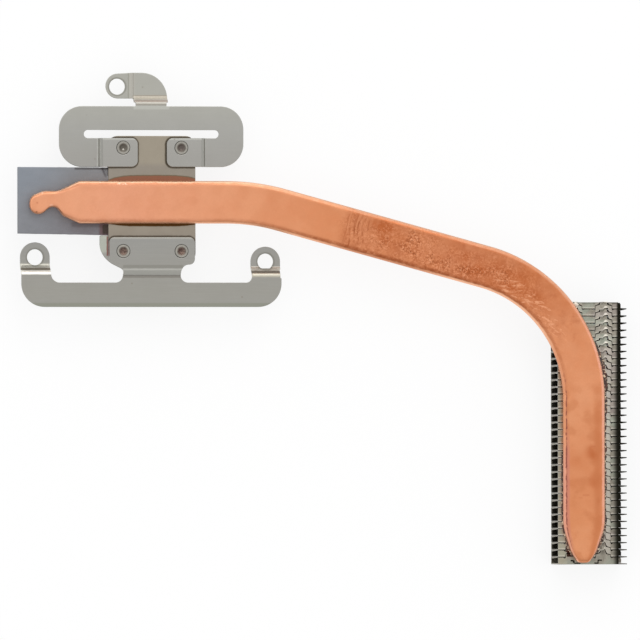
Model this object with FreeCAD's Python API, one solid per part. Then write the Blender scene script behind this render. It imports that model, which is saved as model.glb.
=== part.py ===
import FreeCAD, Part
import math
import os

V = FreeCAD.Vector

# All sizes are in millimetres. The origin is the centre of the face that
# presses on the processor, +Z points away from the board and +X towards the fins.

# base plate, nickel-plated copper
PLATE_W = 14.1
PLATE_L = 20.3
PLATE_T = 1.2
PLATE_CORNER_R = 1.6

# spring brackets, one sheet thickness for both
SHEET_T = 0.5
BEND_R = 0.35
SPRING_DROP = 0.9
EAR_Z = -1.1
SCREW_HOLE_R = 1.28

# rivets through bracket and plate
RIVET_X = 4.7
RIVET_Y = 8.25
RIVET_HEAD_R = 1.05
RIVET_SHANK_R = 0.7
RIVET_FOOT_R = 1.1
RIVET_FOOT_H = 0.35
RIVET_FOOT_SET_IN = 0.08
RIVET_RIM_GAP = 0.09
DIMPLE_R = 0.55
DIMPLE_DEPTH = 0.5

# upper bracket
YOKE_W = 29.8
YOKE_Y0 = 5.2
YOKE_Y1 = 14.9
YOKE_CORNER_R = 3.7
SLOT_W = 21.84
SLOT_Y0 = 9.8
SLOT_Y1 = 11.1
TAB_INNER_X = 2.35
TAB_CORNER_R = 1.0
TAB_FLAT_X = 7.95
TAB_JOGGLE = 0.45
ARM_X0 = -2.75
ARM_X1 = 2.72
ARM_RELIEF = 0.25
ARM_RELIEF_Y = 15.5
ARM_TOP_Y = 20.27
ARM_SWEEP_R = 4.12
ARM_BEND_Y = 15.25
ARM_BEND_RUN = 0.95
ARM_DROP = 1.0
ARM_FOLD_X = -2.8
ARM_FOLD_RUN = 0.65
ARM_EAR_CORNER_R = 0.3
UPPER_EAR_X = -5.15
UPPER_EAR_Y = 18.15
UPPER_EAR_R = 2.0
UPPER_HOLE_X = -5.3
UPPER_HOLE_Y = 18.05

# lower bracket
BAR_X0 = -21.0
BAR_X1 = 21.05
BAR_Y0 = -17.15
BAR_Y1 = -13.25
BAR_CORNER_R = 3.75
LEFT_EAR_X = -18.62
LEFT_EAR_Y = -9.2
RIGHT_EAR_X = 18.67
RIGHT_EAR_Y = -9.87
LOWER_EAR_R = 2.38
LEFT_BAY_R = 1.4
RIGHT_BAY_R = 0.95
EAR_BEND_Y = -11.9
EAR_BEND_RUN = 1.2
RIGHT_EAR_SHIFT = -0.25
BEND_RELIEF = 0.17
BEND_RELIEF_Y0 = -12.55
BEND_RELIEF_Y1 = -11.15
NECK_X0 = -4.6
NECK_X1 = 4.7
NECK_R = 1.2
NECK_BEND_Y = -10.95
NECK_BEND_RUN = 1.1
HEAD_X0 = -7.03
HEAD_X1 = 6.87
HEAD_Y0 = -10.4
HEAD_Y1 = -6.0
HEAD_CORNER_R = 0.9
LUG_X = -8.4
LUG_TOP_Y = -5.75
LUG_TOP_R = 0.2
LUG_CORNER_Y = -9.35
LUG_SWEEP_R = 3.8
LUG_NECK_Y = -11.25
LUG_NECK_R = 0.75
LUG_DROP = 0.75
LUG_SLIT = 0.14
LUG_SLIT_END_Y = -9.1

# thermal pad stuck under the pipe, put on by hand and a little askew
PAD_T = 1.0
PAD_X0 = -21.6
PAD_SKEW = 0.15
PAD_LEFT_Y = (-5.45, 5.12)
PAD_RIGHT_Y = (-5.7, 5.0)
PAD_NICK_BACK = (1.55, 0.55)
PAD_NICK_Y = 3.6
PAD_NICK_TOP_Y = 6.0
PAD_NICK_DEPTH = 0.4

# heat pipe, a round tube pressed flat
PIPE_W = 6.8
PIPE_T = 1.8
PIPE_EDGE_R = 0.88
PIPE_Y = -0.45
PIPE_START_X = -11.2
BEND_1_X = 16.4
BEND_1_R = 33.4
BEND_1_TURN = 15.35
BEND_2_X = 69.97
BEND_2_R = 21.8

# pinched fill end of the pipe, on the left; heights are from the pipe's centre line
TAIL_SHOULDER_X = -11.9
TAIL_SHOULDER_R = 1.5
TAIL_TOP = 1.8
TAIL_TOP_X0 = -17.7
TAIL_TOP_X1 = -15.3
TAIL_SWEEP_R = 3.0
TAIL_SKIRT_X = -14.45
TAIL_SKIRT = -2.25
TAIL_SKIRT_R = 2.0
NOTCH_X0 = -16.55
NOTCH_X1 = -15.55
NOTCH = -0.8
NOTCH_R = 1.0
BULB_X0 = -19.87
BULB_X1 = -17.95
BULB_TOP = 0.9
BULB_BOTTOM = -1.93
BULB_R = 1.4
TAIL_THIN = 0.5
TAIL_RAMP_X0 = -15.9
TAIL_RAMP_X1 = -13.4

# swaged end of the pipe, under the last fins; lengths are from its tip
TIP_Y = -58.14
TIP_SHIFT_X = -0.1
TIP_HALF_W = 0.7
TIP_R = 1.4
TIP_WAIST = 1.9
TIP_WAIST_L = 1.54
TIP_WAIST_R = 6.0
TIP_TAPER_L = 5.6
TIP_TAPER_R = 9.0
TIP_L = 7.64

# zipper fins, hung on the pipe's last run; widths are from the pipe's centre line
FIN_COUNT = 37
FIN_PITCH = 1.137
FIN_T = 0.2
FIN_H = 6.0
FIN_OVERHANG = 0.3
FIN_LEFT = 4.06
FIN_RIGHT = 7.06
FIN_RAKE = 0.3
FLANGE_RIGHT = 5.8
FIN_FIT = 0.03
FIN_FOLD = 0.1
FIN_CORNER_X = 0.3
FIN_CORNER_Y = 0.6
ZIP_SPACING = 4.9
ZIP_SHIFT_X = 0.98
TONGUE_FOOT = 2.7
TONGUE_SHOULDER = 2.6
TONGUE_NECK = 1.24
TONGUE_TOP = 0.9
TONGUE_SHOULDER_L = 0.5
TONGUE_SHOULDER_RISE = 0.2
TONGUE_L = 1.3
TONGUE_STEP = 0.3
TONGUE_STEP_X = 0.14
TONGUE_SIDE_GAP = 0.1

# construction allowances: the straight left between two arcs of a full round, how far one
# sheet reaches into the next, and how far left of the right ear the bar's sheet is parted
ROUND_GAP = 0.001
SHEET_OVERLAP = 0.5
RIGHT_SPLIT = 1.1
PIPE_OVERLAP = 1.0


def outline(corners):
    """Wire through corners (x, y, r) in the XY plane, each corner rounded by r."""
    count = len(corners)
    starts = []
    ends = []
    edges = []
    for i in range(count):
        x, y, r = corners[i]
        here = V(x, y, 0)
        back = V(corners[i - 1][0], corners[i - 1][1], 0) - here
        ahead = V(corners[(i + 1) % count][0], corners[(i + 1) % count][1], 0) - here
        if r <= 0:
            starts.append(here)
            ends.append(here)
            edges.append(None)
            continue
        back.normalize()
        ahead.normalize()
        half = back.getAngle(ahead) / 2
        cut = r / math.tan(half)
        middle = back + ahead
        middle.normalize()
        start = here + back * cut
        end = here + ahead * cut
        on_arc = here + middle * (r / math.sin(half) - r)
        starts.append(start)
        ends.append(end)
        edges.append(Part.Arc(start, on_arc, end).toShape())
    path = []
    for i in range(count):
        if edges[i] is not None:
            path.append(edges[i])
        following = starts[(i + 1) % count]
        if ends[i].distanceToPoint(following) > 1e-6:
            path.append(Part.makeLine(ends[i], following))
    return Part.Wire(path)


def slab(corners, z0, z1):
    """Plate with the rounded outline between two heights."""
    face = Part.Face(outline(corners))
    face.translate(V(0, 0, z0))
    return face.extrude(V(0, 0, z1 - z0))


def sheet_profile(path, thickness, radius):
    """Outline of a bent sheet from its lower line of (s, z) points, in the XY plane."""
    count = len(path)
    lower = [V(s, z, 0) for s, z in path]
    normals = []
    for i in range(count - 1):
        run = lower[i + 1] - lower[i]
        run.normalize()
        normals.append(V(-run.y, run.x, 0))
    upper = []
    for i in range(count):
        first = normals[max(i - 1, 0)]
        second = normals[min(i, count - 2)]
        mitre = first + second
        mitre.normalize()
        upper.append(lower[i] + mitre * (thickness / mitre.dot(first)))
    corners = []
    for i in range(count):
        corners.append((lower[i].x, lower[i].y, bend_radius(i, count, normals, radius, thickness, False)))
    for i in reversed(range(count)):
        corners.append((upper[i].x, upper[i].y, bend_radius(i, count, normals, radius, thickness, True)))
    return outline(corners)


def bend_radius(i, count, normals, radius, thickness, is_upper):
    """Inner radius on the closing side of a bend, and a sheet more on the other."""
    if i == 0 or i == count - 1:
        return 0
    turn = normals[i - 1].cross(normals[i]).z
    if (turn > 0) == is_upper:
        return radius
    return radius + thickness


def sheet_along_y(path, thickness, radius, y0, y1):
    """Bent sheet whose (x, z) section is carried from y0 to y1."""
    face = Part.Face(sheet_profile(path, thickness, radius))
    face.rotate(V(0, 0, 0), V(1, 0, 0), 90)
    face.translate(V(0, y0, 0))
    return face.extrude(V(0, y1 - y0, 0))


def sheet_along_x(path, thickness, radius, x0, x1):
    """Bent sheet whose (y, z) section is carried from x0 to x1."""
    face = Part.Face(sheet_profile(path, thickness, radius))
    face.rotate(V(0, 0, 0), V(1, 1, 1), 120)
    face.translate(V(x0, 0, 0))
    return face.extrude(V(x1 - x0, 0, 0))


def block(x0, x1, y0, y1, z0, z1):
    return Part.makeBox(x1 - x0, y1 - y0, z1 - z0, V(x0, y0, z0))


def rivet_spots(signs_y):
    return [(sx * RIVET_X, sy * RIVET_Y) for sy in signs_y for sx in (-1, 1)]


def countersinks(signs_y):
    """Tapered seats for the rivet heads, open at the bracket's top."""
    rim_r = RIVET_HEAD_R + RIVET_RIM_GAP
    return [Part.makeCone(RIVET_SHANK_R, rim_r, SHEET_T, V(x, y, PLATE_T)) for x, y in rivet_spots(signs_y)]


def make_base_plate():
    half_w = PLATE_W / 2
    half_l = PLATE_L / 2
    corners = [(-half_w, -half_l, PLATE_CORNER_R),
               (half_w, -half_l, PLATE_CORNER_R),
               (half_w, half_l, PLATE_CORNER_R),
               (-half_w, half_l, PLATE_CORNER_R)]
    plate = slab(corners, 0, PLATE_T)
    for x, y in rivet_spots((-1, 1)):
        plate = plate.cut(Part.makeCylinder(RIVET_SHANK_R, PLATE_T, V(x, y, 0)))
        plate = plate.cut(Part.makeCone(RIVET_FOOT_R, RIVET_SHANK_R, RIVET_FOOT_H, V(x, y, 0)))
    return plate


def make_rivets():
    """Four countersunk rivets with a punched dimple in each head."""
    top = PLATE_T + SHEET_T
    foot_r = RIVET_FOOT_R - (RIVET_FOOT_R - RIVET_SHANK_R) * RIVET_FOOT_SET_IN / RIVET_FOOT_H
    half = [V(0, 0, RIVET_FOOT_SET_IN),
            V(foot_r, 0, RIVET_FOOT_SET_IN),
            V(RIVET_SHANK_R, 0, RIVET_FOOT_H),
            V(RIVET_SHANK_R, 0, PLATE_T),
            V(RIVET_HEAD_R, 0, top),
            V(DIMPLE_R, 0, top),
            V(0, 0, top - DIMPLE_DEPTH),
            V(0, 0, RIVET_FOOT_SET_IN)]
    rivet = Part.Face(Part.makePolygon(half)).revolve(V(0, 0, 0), V(0, 0, 1), 360)
    group = []
    for x, y in rivet_spots((-1, 1)):
        one = rivet.copy()
        one.translate(V(x, y, 0))
        group.append(one)
    return Part.makeCompound(group)


def make_upper_bracket():
    high = PLATE_T
    low = PLATE_T - SPRING_DROP
    arm_z = low - ARM_DROP
    half = YOKE_W / 2
    ear_r = UPPER_EAR_R - ROUND_GAP
    arm_root = YOKE_Y1 - SHEET_OVERLAP
    slot_r = (SLOT_Y1 - SLOT_Y0) / 2 - ROUND_GAP
    joggle_x = TAB_FLAT_X + TAB_JOGGLE
    yoke = slab([(-half, YOKE_Y0, YOKE_CORNER_R),
                 (half, YOKE_Y0, YOKE_CORNER_R),
                 (half, YOKE_Y1, YOKE_CORNER_R),
                 (-half, YOKE_Y1, YOKE_CORNER_R)], low, low + SHEET_T)
    slot = slab([(-SLOT_W / 2, SLOT_Y0, slot_r),
                 (SLOT_W / 2, SLOT_Y0, slot_r),
                 (SLOT_W / 2, SLOT_Y1, slot_r),
                 (-SLOT_W / 2, SLOT_Y1, slot_r)], low, low + SHEET_T)
    bend_root = joggle_x + SHEET_T + BEND_R
    yoke = yoke.cut(slot)
    yoke = yoke.cut(block(-bend_root, bend_root, YOKE_Y0, SLOT_Y0, low, low + SHEET_T))
    for side in (-1, 1):
        path = [(TAB_INNER_X, high), (TAB_FLAT_X, high), (joggle_x, low), (bend_root, low)]
        if side < 0:
            path = [(-x, z) for x, z in reversed(path)]
        tab = sheet_along_y(path, SHEET_T, BEND_R / 2, YOKE_Y0, SLOT_Y0)
        shape = slab([(side * TAB_INNER_X, YOKE_Y0, TAB_CORNER_R),
                      (side * bend_root, YOKE_Y0, 0),
                      (side * bend_root, SLOT_Y0, 0),
                      (side * TAB_INNER_X, SLOT_Y0, TAB_CORNER_R)], low, high + SHEET_T)
        yoke = yoke.fuse(tab.common(shape))
    arm_flat = slab([(ARM_X0 + ARM_RELIEF, arm_root, 0),
                     (ARM_X1 - ARM_RELIEF, arm_root, 0),
                     (ARM_X1 - ARM_RELIEF, ARM_RELIEF_Y, 0),
                     (ARM_X1, ARM_RELIEF_Y, 0),
                     (ARM_X1, ARM_TOP_Y, ARM_SWEEP_R),
                     (ARM_FOLD_X, ARM_TOP_Y, 0),
                     (UPPER_EAR_X, UPPER_EAR_Y + UPPER_EAR_R, 0),
                     (UPPER_EAR_X - UPPER_EAR_R, UPPER_EAR_Y + UPPER_EAR_R, ear_r),
                     (UPPER_EAR_X - UPPER_EAR_R, UPPER_EAR_Y - UPPER_EAR_R, ear_r),
                     (ARM_X0, UPPER_EAR_Y - UPPER_EAR_R, ARM_EAR_CORNER_R),
                     (ARM_X0, ARM_RELIEF_Y, 0),
                     (ARM_X0 + ARM_RELIEF, ARM_RELIEF_Y, 0)], EAR_Z, high)
    bend_end = ARM_BEND_Y + ARM_BEND_RUN
    arm = sheet_along_x([(arm_root, low),
                         (ARM_BEND_Y, low),
                         (bend_end, arm_z),
                         (ARM_TOP_Y, arm_z)], SHEET_T, BEND_R, ARM_FOLD_X, ARM_X1)
    fold_end = ARM_FOLD_X - ARM_FOLD_RUN
    ear_x0 = UPPER_EAR_X - UPPER_EAR_R
    ear_path = [(ear_x0, EAR_Z),
                (fold_end, EAR_Z),
                (ARM_FOLD_X, arm_z),
                (ARM_FOLD_X + SHEET_OVERLAP, arm_z)]
    ear = sheet_along_y(ear_path, SHEET_T, BEND_R, UPPER_EAR_Y - UPPER_EAR_R, ARM_TOP_Y)
    ear = ear.common(block(ear_x0, ARM_FOLD_X, UPPER_EAR_Y - UPPER_EAR_R, ARM_TOP_Y, EAR_Z, high))
    bracket = yoke.fuse(arm.fuse(ear).common(arm_flat))
    for seat in countersinks((1,)):
        bracket = bracket.cut(seat)
    hole = Part.makeCylinder(SCREW_HOLE_R, 2 * SHEET_T, V(UPPER_HOLE_X, UPPER_HOLE_Y, EAR_Z - SHEET_T / 2))
    return bracket.cut(hole).removeSplitter()


def make_lower_bracket():
    high = PLATE_T
    low = PLATE_T - SPRING_DROP
    left_in = LEFT_EAR_X + LOWER_EAR_R
    right_in = RIGHT_EAR_X - LOWER_EAR_R
    left_top = LEFT_EAR_Y + LOWER_EAR_R
    right_top = RIGHT_EAR_Y + LOWER_EAR_R
    ear_r = LOWER_EAR_R - ROUND_GAP
    split_x = right_in - RIGHT_SPLIT
    flat = slab([(BAR_X0, BAR_Y0, BAR_CORNER_R),
                 (BAR_X1, BAR_Y0, BAR_CORNER_R),
                 (BAR_X1, BEND_RELIEF_Y0, 0),
                 (BAR_X1 - BEND_RELIEF, BEND_RELIEF_Y0, 0),
                 (BAR_X1 - BEND_RELIEF, BEND_RELIEF_Y1, 0),
                 (BAR_X1, BEND_RELIEF_Y1, 0),
                 (BAR_X1, right_top, ear_r),
                 (right_in, right_top, ear_r),
                 (right_in, BAR_Y1, RIGHT_BAY_R),
                 (NECK_X1, BAR_Y1, NECK_R),
                 (NECK_X1, HEAD_Y0, NECK_R),
                 (HEAD_X1, HEAD_Y0, HEAD_CORNER_R),
                 (HEAD_X1, HEAD_Y1, HEAD_CORNER_R),
                 (HEAD_X0, HEAD_Y1, HEAD_CORNER_R),
                 (HEAD_X0, LUG_SLIT_END_Y, 0),
                 (HEAD_X0 - LUG_SLIT, LUG_SLIT_END_Y, 0),
                 (HEAD_X0 - LUG_SLIT, LUG_TOP_Y, 0),
                 (LUG_X, LUG_TOP_Y, LUG_TOP_R),
                 (LUG_X, LUG_CORNER_Y, LUG_SWEEP_R),
                 (NECK_X0, LUG_NECK_Y, LUG_NECK_R),
                 (NECK_X0, BAR_Y1, NECK_R),
                 (left_in, BAR_Y1, LEFT_BAY_R),
                 (left_in, left_top, ear_r),
                 (BAR_X0, left_top, ear_r)], EAR_Z, high + SHEET_T)
    neck_end = NECK_BEND_Y - NECK_BEND_RUN
    middle = sheet_along_x([(BAR_Y0, low),
                            (neck_end, low),
                            (NECK_BEND_Y, high),
                            (LUG_TOP_Y, high)], SHEET_T, BEND_R, HEAD_X0 - LUG_SLIT, split_x)
    left_head = sheet_along_y([(LUG_X, high - LUG_DROP),
                               (HEAD_X0 - LUG_SLIT, high),
                               (HEAD_X0, high)], SHEET_T, BEND_R / 2, LUG_NECK_Y, LUG_TOP_Y)
    left_head = left_head.common(block(LUG_X, HEAD_X0 - LUG_SLIT, LUG_NECK_Y, LUG_TOP_Y, 0, 2 * high))
    bar_left = block(BAR_X0, HEAD_X0 - LUG_SLIT, BAR_Y0, BAR_Y1, low, low + SHEET_T)
    left_rise = sheet_along_x([(BAR_Y1 - SHEET_OVERLAP, low),
                               (EAR_BEND_Y, low),
                               (EAR_BEND_Y + EAR_BEND_RUN, EAR_Z),
                               (left_top, EAR_Z)], SHEET_T, BEND_R, BAR_X0, left_in + LEFT_BAY_R)
    right_rise = sheet_along_x([(BAR_Y1 - SHEET_OVERLAP, low),
                                (EAR_BEND_Y + RIGHT_EAR_SHIFT, low),
                                (EAR_BEND_Y + RIGHT_EAR_SHIFT + EAR_BEND_RUN, EAR_Z),
                                (right_top, EAR_Z)], SHEET_T, BEND_R, split_x, BAR_X1)
    bar_right = block(split_x, BAR_X1, BAR_Y0, BAR_Y1, low, low + SHEET_T)
    sheets = middle.fuse([left_head, bar_left, left_rise, right_rise, bar_right])
    bracket = sheets.common(flat)
    for seat in countersinks((-1,)):
        bracket = bracket.cut(seat)
    for x, y in ((LEFT_EAR_X, LEFT_EAR_Y), (RIGHT_EAR_X, RIGHT_EAR_Y)):
        hole = Part.makeCylinder(SCREW_HOLE_R, 2 * SHEET_T, V(x, y, EAR_Z - SHEET_T / 2))
        bracket = bracket.cut(hole)
    return bracket.removeSplitter()


def make_thermal_pad():
    """Pad with one corner pressed down where it was pulled against the plate."""
    right = -PLATE_W / 2
    pad = slab([(PAD_X0, PAD_LEFT_Y[0], 0),
                (right, PAD_RIGHT_Y[0], 0),
                (right, PAD_RIGHT_Y[1], 0),
                (PAD_X0 + PAD_SKEW, PAD_LEFT_Y[1], 0)], PLATE_T - PAD_T, PLATE_T)
    nick = slab([(right - PAD_NICK_BACK[0], PAD_NICK_TOP_Y, 0),
                 (right - PAD_NICK_BACK[1], PAD_NICK_Y, 0),
                 (right, PAD_NICK_Y, 0),
                 (right, PAD_NICK_TOP_Y, 0)], PLATE_T - PAD_NICK_DEPTH, PLATE_T)
    return pad.cut(nick)


def rounded_edges(body):
    """Round every long edge of a flat slab, as on the sides of a pressed tube."""
    rims = [e for e in body.Edges if abs(e.BoundBox.ZLength) < 1e-4]
    return body.makeFillet(PIPE_EDGE_R, rims)


def make_pipe_run():
    """Flattened tube section swept along straight, bend, straight, bend, straight."""
    turn_1 = math.radians(BEND_1_TURN)
    turn_2 = math.radians(90 - BEND_1_TURN)
    cut_1 = BEND_1_R * math.tan(turn_1 / 2)
    cut_2 = BEND_2_R * math.tan(turn_2 / 2)
    slope = V(math.cos(turn_1), -math.sin(turn_1), 0)
    corner_1 = V(BEND_1_X, PIPE_Y, 0)
    corner_2 = V(BEND_2_X, PIPE_Y - (BEND_2_X - BEND_1_X) * math.tan(turn_1), 0)
    p0 = V(PIPE_START_X, PIPE_Y, 0)
    p1 = corner_1 - V(cut_1, 0, 0)
    p2 = corner_1 + slope * cut_1
    p3 = corner_2 - slope * cut_2
    p4 = corner_2 - V(0, cut_2, 0)
    p5 = V(BEND_2_X, TIP_Y + TIP_L, 0)
    centre_1 = p1 - V(0, BEND_1_R, 0)
    centre_2 = p4 - V(BEND_2_R, 0, 0)
    half_w = PIPE_W / 2
    section = [(-half_w, 0, PIPE_EDGE_R),
               (half_w, 0, PIPE_EDGE_R),
               (half_w, PIPE_T, PIPE_EDGE_R),
               (-half_w, PIPE_T, PIPE_EDGE_R)]
    face = Part.Face(outline(section))
    face.rotate(V(0, 0, 0), V(1, 1, 1), 120)
    face.translate(p0 + V(0, 0, PLATE_T))
    run = face.extrude(p1 - p0)
    face.translate(p1 - p0)
    run = run.fuse(face.revolve(centre_1, V(0, 0, -1), BEND_1_TURN))
    face.rotate(centre_1, V(0, 0, -1), BEND_1_TURN)
    run = run.fuse(face.extrude(p3 - p2))
    face.translate(p3 - p2)
    run = run.fuse(face.revolve(centre_2, V(0, 0, -1), 90 - BEND_1_TURN))
    face.rotate(centre_2, V(0, 0, -1), 90 - BEND_1_TURN)
    return run.fuse(face.extrude(p5 - p4))


def make_tail():
    """Pinched fill end: a waist with a notch below, and a small thinned bulb."""
    half_w = PIPE_W / 2
    join_x = PIPE_START_X + PIPE_OVERLAP
    top_z = PLATE_T + PIPE_T
    tail = slab([(join_x, PIPE_Y + half_w, 0),
                 (TAIL_SHOULDER_X, PIPE_Y + half_w, TAIL_SHOULDER_R),
                 (TAIL_TOP_X1, PIPE_Y + TAIL_TOP, TAIL_SWEEP_R),
                 (TAIL_TOP_X0, PIPE_Y + TAIL_TOP, TAIL_SWEEP_R),
                 (BULB_X0, PIPE_Y + BULB_TOP, BULB_R),
                 (BULB_X0, PIPE_Y + BULB_BOTTOM, BULB_R),
                 (BULB_X1, PIPE_Y + BULB_BOTTOM, BULB_R),
                 (NOTCH_X0, PIPE_Y + NOTCH, NOTCH_R),
                 (NOTCH_X1, PIPE_Y + NOTCH, NOTCH_R),
                 (TAIL_SKIRT_X, PIPE_Y + TAIL_SKIRT, TAIL_SKIRT_R),
                 (TAIL_SHOULDER_X, PIPE_Y - half_w, TAIL_SHOULDER_R),
                 (join_x, PIPE_Y - half_w, 0)], PLATE_T, top_z)
    end_x = BULB_X0 - PIPE_OVERLAP
    ramp = Part.Face(Part.makePolygon([V(end_x, 0, top_z - TAIL_THIN),
                                       V(TAIL_RAMP_X0, 0, top_z - TAIL_THIN),
                                       V(TAIL_RAMP_X1, 0, top_z),
                                       V(end_x, 0, top_z),
                                       V(end_x, 0, top_z - TAIL_THIN)]))
    ramp.translate(V(0, PIPE_Y - PIPE_W, 0))
    tail = rounded_edges(tail).cut(ramp.extrude(V(0, 2 * PIPE_W, 0)))
    beyond = block(PIPE_START_X, join_x, PIPE_Y - PIPE_W, PIPE_Y + PIPE_W, PLATE_T, top_z)
    return tail.cut(beyond)


def make_tip():
    """Swaged and closed end, narrowing in two steps to a blunt nose."""
    half_w = PIPE_W / 2
    middle = BEND_2_X + TIP_SHIFT_X
    shoulder_y = TIP_Y + TIP_L
    join_y = shoulder_y + PIPE_OVERLAP
    tip = slab([(BEND_2_X - half_w, join_y, 0),
                (BEND_2_X - half_w, TIP_Y + TIP_TAPER_L, TIP_TAPER_R),
                (middle - TIP_WAIST, TIP_Y + TIP_WAIST_L, TIP_WAIST_R),
                (middle - TIP_HALF_W, TIP_Y, TIP_R),
                (middle + TIP_HALF_W, TIP_Y, TIP_R),
                (middle + TIP_WAIST, TIP_Y + TIP_WAIST_L, TIP_WAIST_R),
                (BEND_2_X + half_w, TIP_Y + TIP_TAPER_L, TIP_TAPER_R),
                (BEND_2_X + half_w, join_y, 0)], PLATE_T, PLATE_T + PIPE_T)
    beyond = block(BEND_2_X - PIPE_W, BEND_2_X + PIPE_W, shoulder_y, join_y, PLATE_T, PLATE_T + PIPE_T)
    return rounded_edges(tip).cut(beyond)


def make_heat_pipe():
    return make_pipe_run().fuse([make_tail(), make_tip()]).removeSplitter()


def tongue_outline(x, joint, foot, grow, side_gap):
    """Zipper tongue at x across a joint: wide foot, sloping shoulders, narrow neck, lower on its left."""
    foot_w = TONGUE_FOOT / 2 + grow
    shoulder_w = TONGUE_SHOULDER / 2 + grow
    neck_w = TONGUE_NECK / 2 + side_gap
    top_w = TONGUE_TOP / 2 + side_gap
    shoulder = joint + TONGUE_SHOULDER_L + grow
    neck = shoulder + TONGUE_SHOULDER_RISE
    tip = joint + TONGUE_L + grow
    step_x = x + TONGUE_STEP_X - side_gap
    return [(x - foot_w, foot - FIN_T, 0),
            (x + foot_w, foot - FIN_T, 0),
            (x + foot_w, foot, 0),
            (x + shoulder_w, shoulder, 0),
            (x + neck_w, neck, 0),
            (x + top_w, tip, 0),
            (step_x, tip, 0),
            (step_x, tip - TONGUE_STEP, 0),
            (x - (neck_w + top_w) / 2, tip - TONGUE_STEP, 0),
            (x - neck_w, neck, 0),
            (x - shoulder_w, shoulder, 0),
            (x - foot_w, foot, 0)]


def make_fin(with_tongues, with_notches):
    """One folded fin with its web at y = 0 and both flanges running to +Y."""
    top = PLATE_T
    bottom = top - FIN_H
    free = FIN_PITCH - FIN_FIT
    left_x = BEND_2_X - FIN_LEFT
    right_x = BEND_2_X + FIN_RIGHT
    far_x = right_x + FIN_RAKE
    channel = [(0, bottom + FIN_FOLD, 0),
               (FIN_FOLD, bottom, 0),
               (free, bottom, 0),
               (free, bottom + FIN_T, 0),
               (FIN_T, bottom + FIN_T, 0),
               (FIN_T, top - FIN_T, 0),
               (free, top - FIN_T, 0),
               (free, top, 0),
               (FIN_FOLD, top, 0),
               (0, top - FIN_FOLD, 0)]
    face = Part.Face(outline(channel))
    face.rotate(V(0, 0, 0), V(1, 1, 1), 120)
    face.translate(V(left_x, 0, 0))
    fin = face.extrude(V(far_x - left_x, 0, 0))
    rake = Part.makePolygon([V(right_x, 0, top), V(far_x, 0, bottom), V(far_x, 0, top), V(right_x, 0, top)])
    fin = fin.cut(Part.Face(rake).extrude(V(0, free, 0)))
    fin = fin.cut(block(BEND_2_X + FLANGE_RIGHT, far_x, FIN_T, free, top - FIN_T, top))
    fin = fin.cut(slab([(far_x - FIN_CORNER_X, free, 0),
                        (far_x, free - FIN_CORNER_Y, 0),
                        (far_x, free, 0)], bottom, bottom + FIN_T))
    for side in (-1, 1):
        x = BEND_2_X + ZIP_SHIFT_X + side * ZIP_SPACING / 2
        if with_tongues:
            fin = fin.fuse(slab(tongue_outline(x, FIN_PITCH, free, 0, 0), top - FIN_T, top))
        if with_notches:
            notch = tongue_outline(x, 0, 0, FIN_FIT, TONGUE_SIDE_GAP)
            fin = fin.cut(slab(notch, top - FIN_T - FIN_FIT, top))
    return fin.removeSplitter()


os.makedirs("parts", exist_ok=True)

make_heat_pipe().exportStep("parts/heat_pipe.step")
make_base_plate().exportStep("parts/base_plate.step")
make_upper_bracket().exportStep("parts/upper_bracket.step")
make_lower_bracket().exportStep("parts/lower_bracket.step")
make_rivets().exportStep("parts/rivets.step")
make_thermal_pad().exportStep("parts/thermal_pad.step")

# the stack's first fin has no notches and its last fin no tongues
fins = [make_fin(True, False)]
fins.extend([make_fin(True, True)] * (FIN_COUNT - 2))
fins.append(make_fin(False, True))
for number in range(FIN_COUNT):
    fin = fins[number].copy()
    fin.translate(V(0, TIP_Y - FIN_OVERHANG + number * FIN_PITCH, 0))
    fin.exportStep("parts/fin_%02d.step" % (number + 1))
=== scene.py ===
import bpy
import bmesh
import math
import numpy as np
from mathutils import Matrix, Vector


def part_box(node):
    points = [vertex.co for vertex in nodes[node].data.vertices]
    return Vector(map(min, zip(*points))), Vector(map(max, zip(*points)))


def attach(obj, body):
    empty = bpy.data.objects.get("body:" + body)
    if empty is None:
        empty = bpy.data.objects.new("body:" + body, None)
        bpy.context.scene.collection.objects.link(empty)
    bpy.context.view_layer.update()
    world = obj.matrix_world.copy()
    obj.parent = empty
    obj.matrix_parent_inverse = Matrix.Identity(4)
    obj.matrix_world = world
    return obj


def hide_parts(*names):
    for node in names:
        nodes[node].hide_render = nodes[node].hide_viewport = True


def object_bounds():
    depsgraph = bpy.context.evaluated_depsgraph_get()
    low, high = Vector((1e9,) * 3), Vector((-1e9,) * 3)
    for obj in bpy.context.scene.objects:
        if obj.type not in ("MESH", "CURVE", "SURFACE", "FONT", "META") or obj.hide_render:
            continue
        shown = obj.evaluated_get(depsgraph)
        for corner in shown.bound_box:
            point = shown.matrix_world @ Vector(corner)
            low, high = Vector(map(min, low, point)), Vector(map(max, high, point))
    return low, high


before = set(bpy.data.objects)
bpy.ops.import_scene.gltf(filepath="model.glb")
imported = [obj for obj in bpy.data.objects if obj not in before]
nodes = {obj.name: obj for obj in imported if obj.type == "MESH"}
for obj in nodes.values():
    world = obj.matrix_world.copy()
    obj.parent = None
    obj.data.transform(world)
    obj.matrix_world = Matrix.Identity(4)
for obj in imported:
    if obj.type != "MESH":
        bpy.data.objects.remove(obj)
cad_lo, cad_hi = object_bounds()

# Sizes are in millimetres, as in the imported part, and become metres in the meshes.
MM = 0.001


def box_mm(node):
    """Lowest and highest corner of a node's box, in millimetres."""
    lo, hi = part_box(node)
    return np.array(lo) / MM, np.array(hi) / MM


pipe_lo, pipe_hi = box_mm("heat_pipe")
pad_lo, pad_hi = box_mm("thermal_pad")
FIN_NAMES = sorted(n for n in nodes if n.startswith("fin_"))
fin_lo, fin_hi = box_mm(FIN_NAMES[0])
next_fin_lo = box_mm(FIN_NAMES[1])[0]

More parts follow.
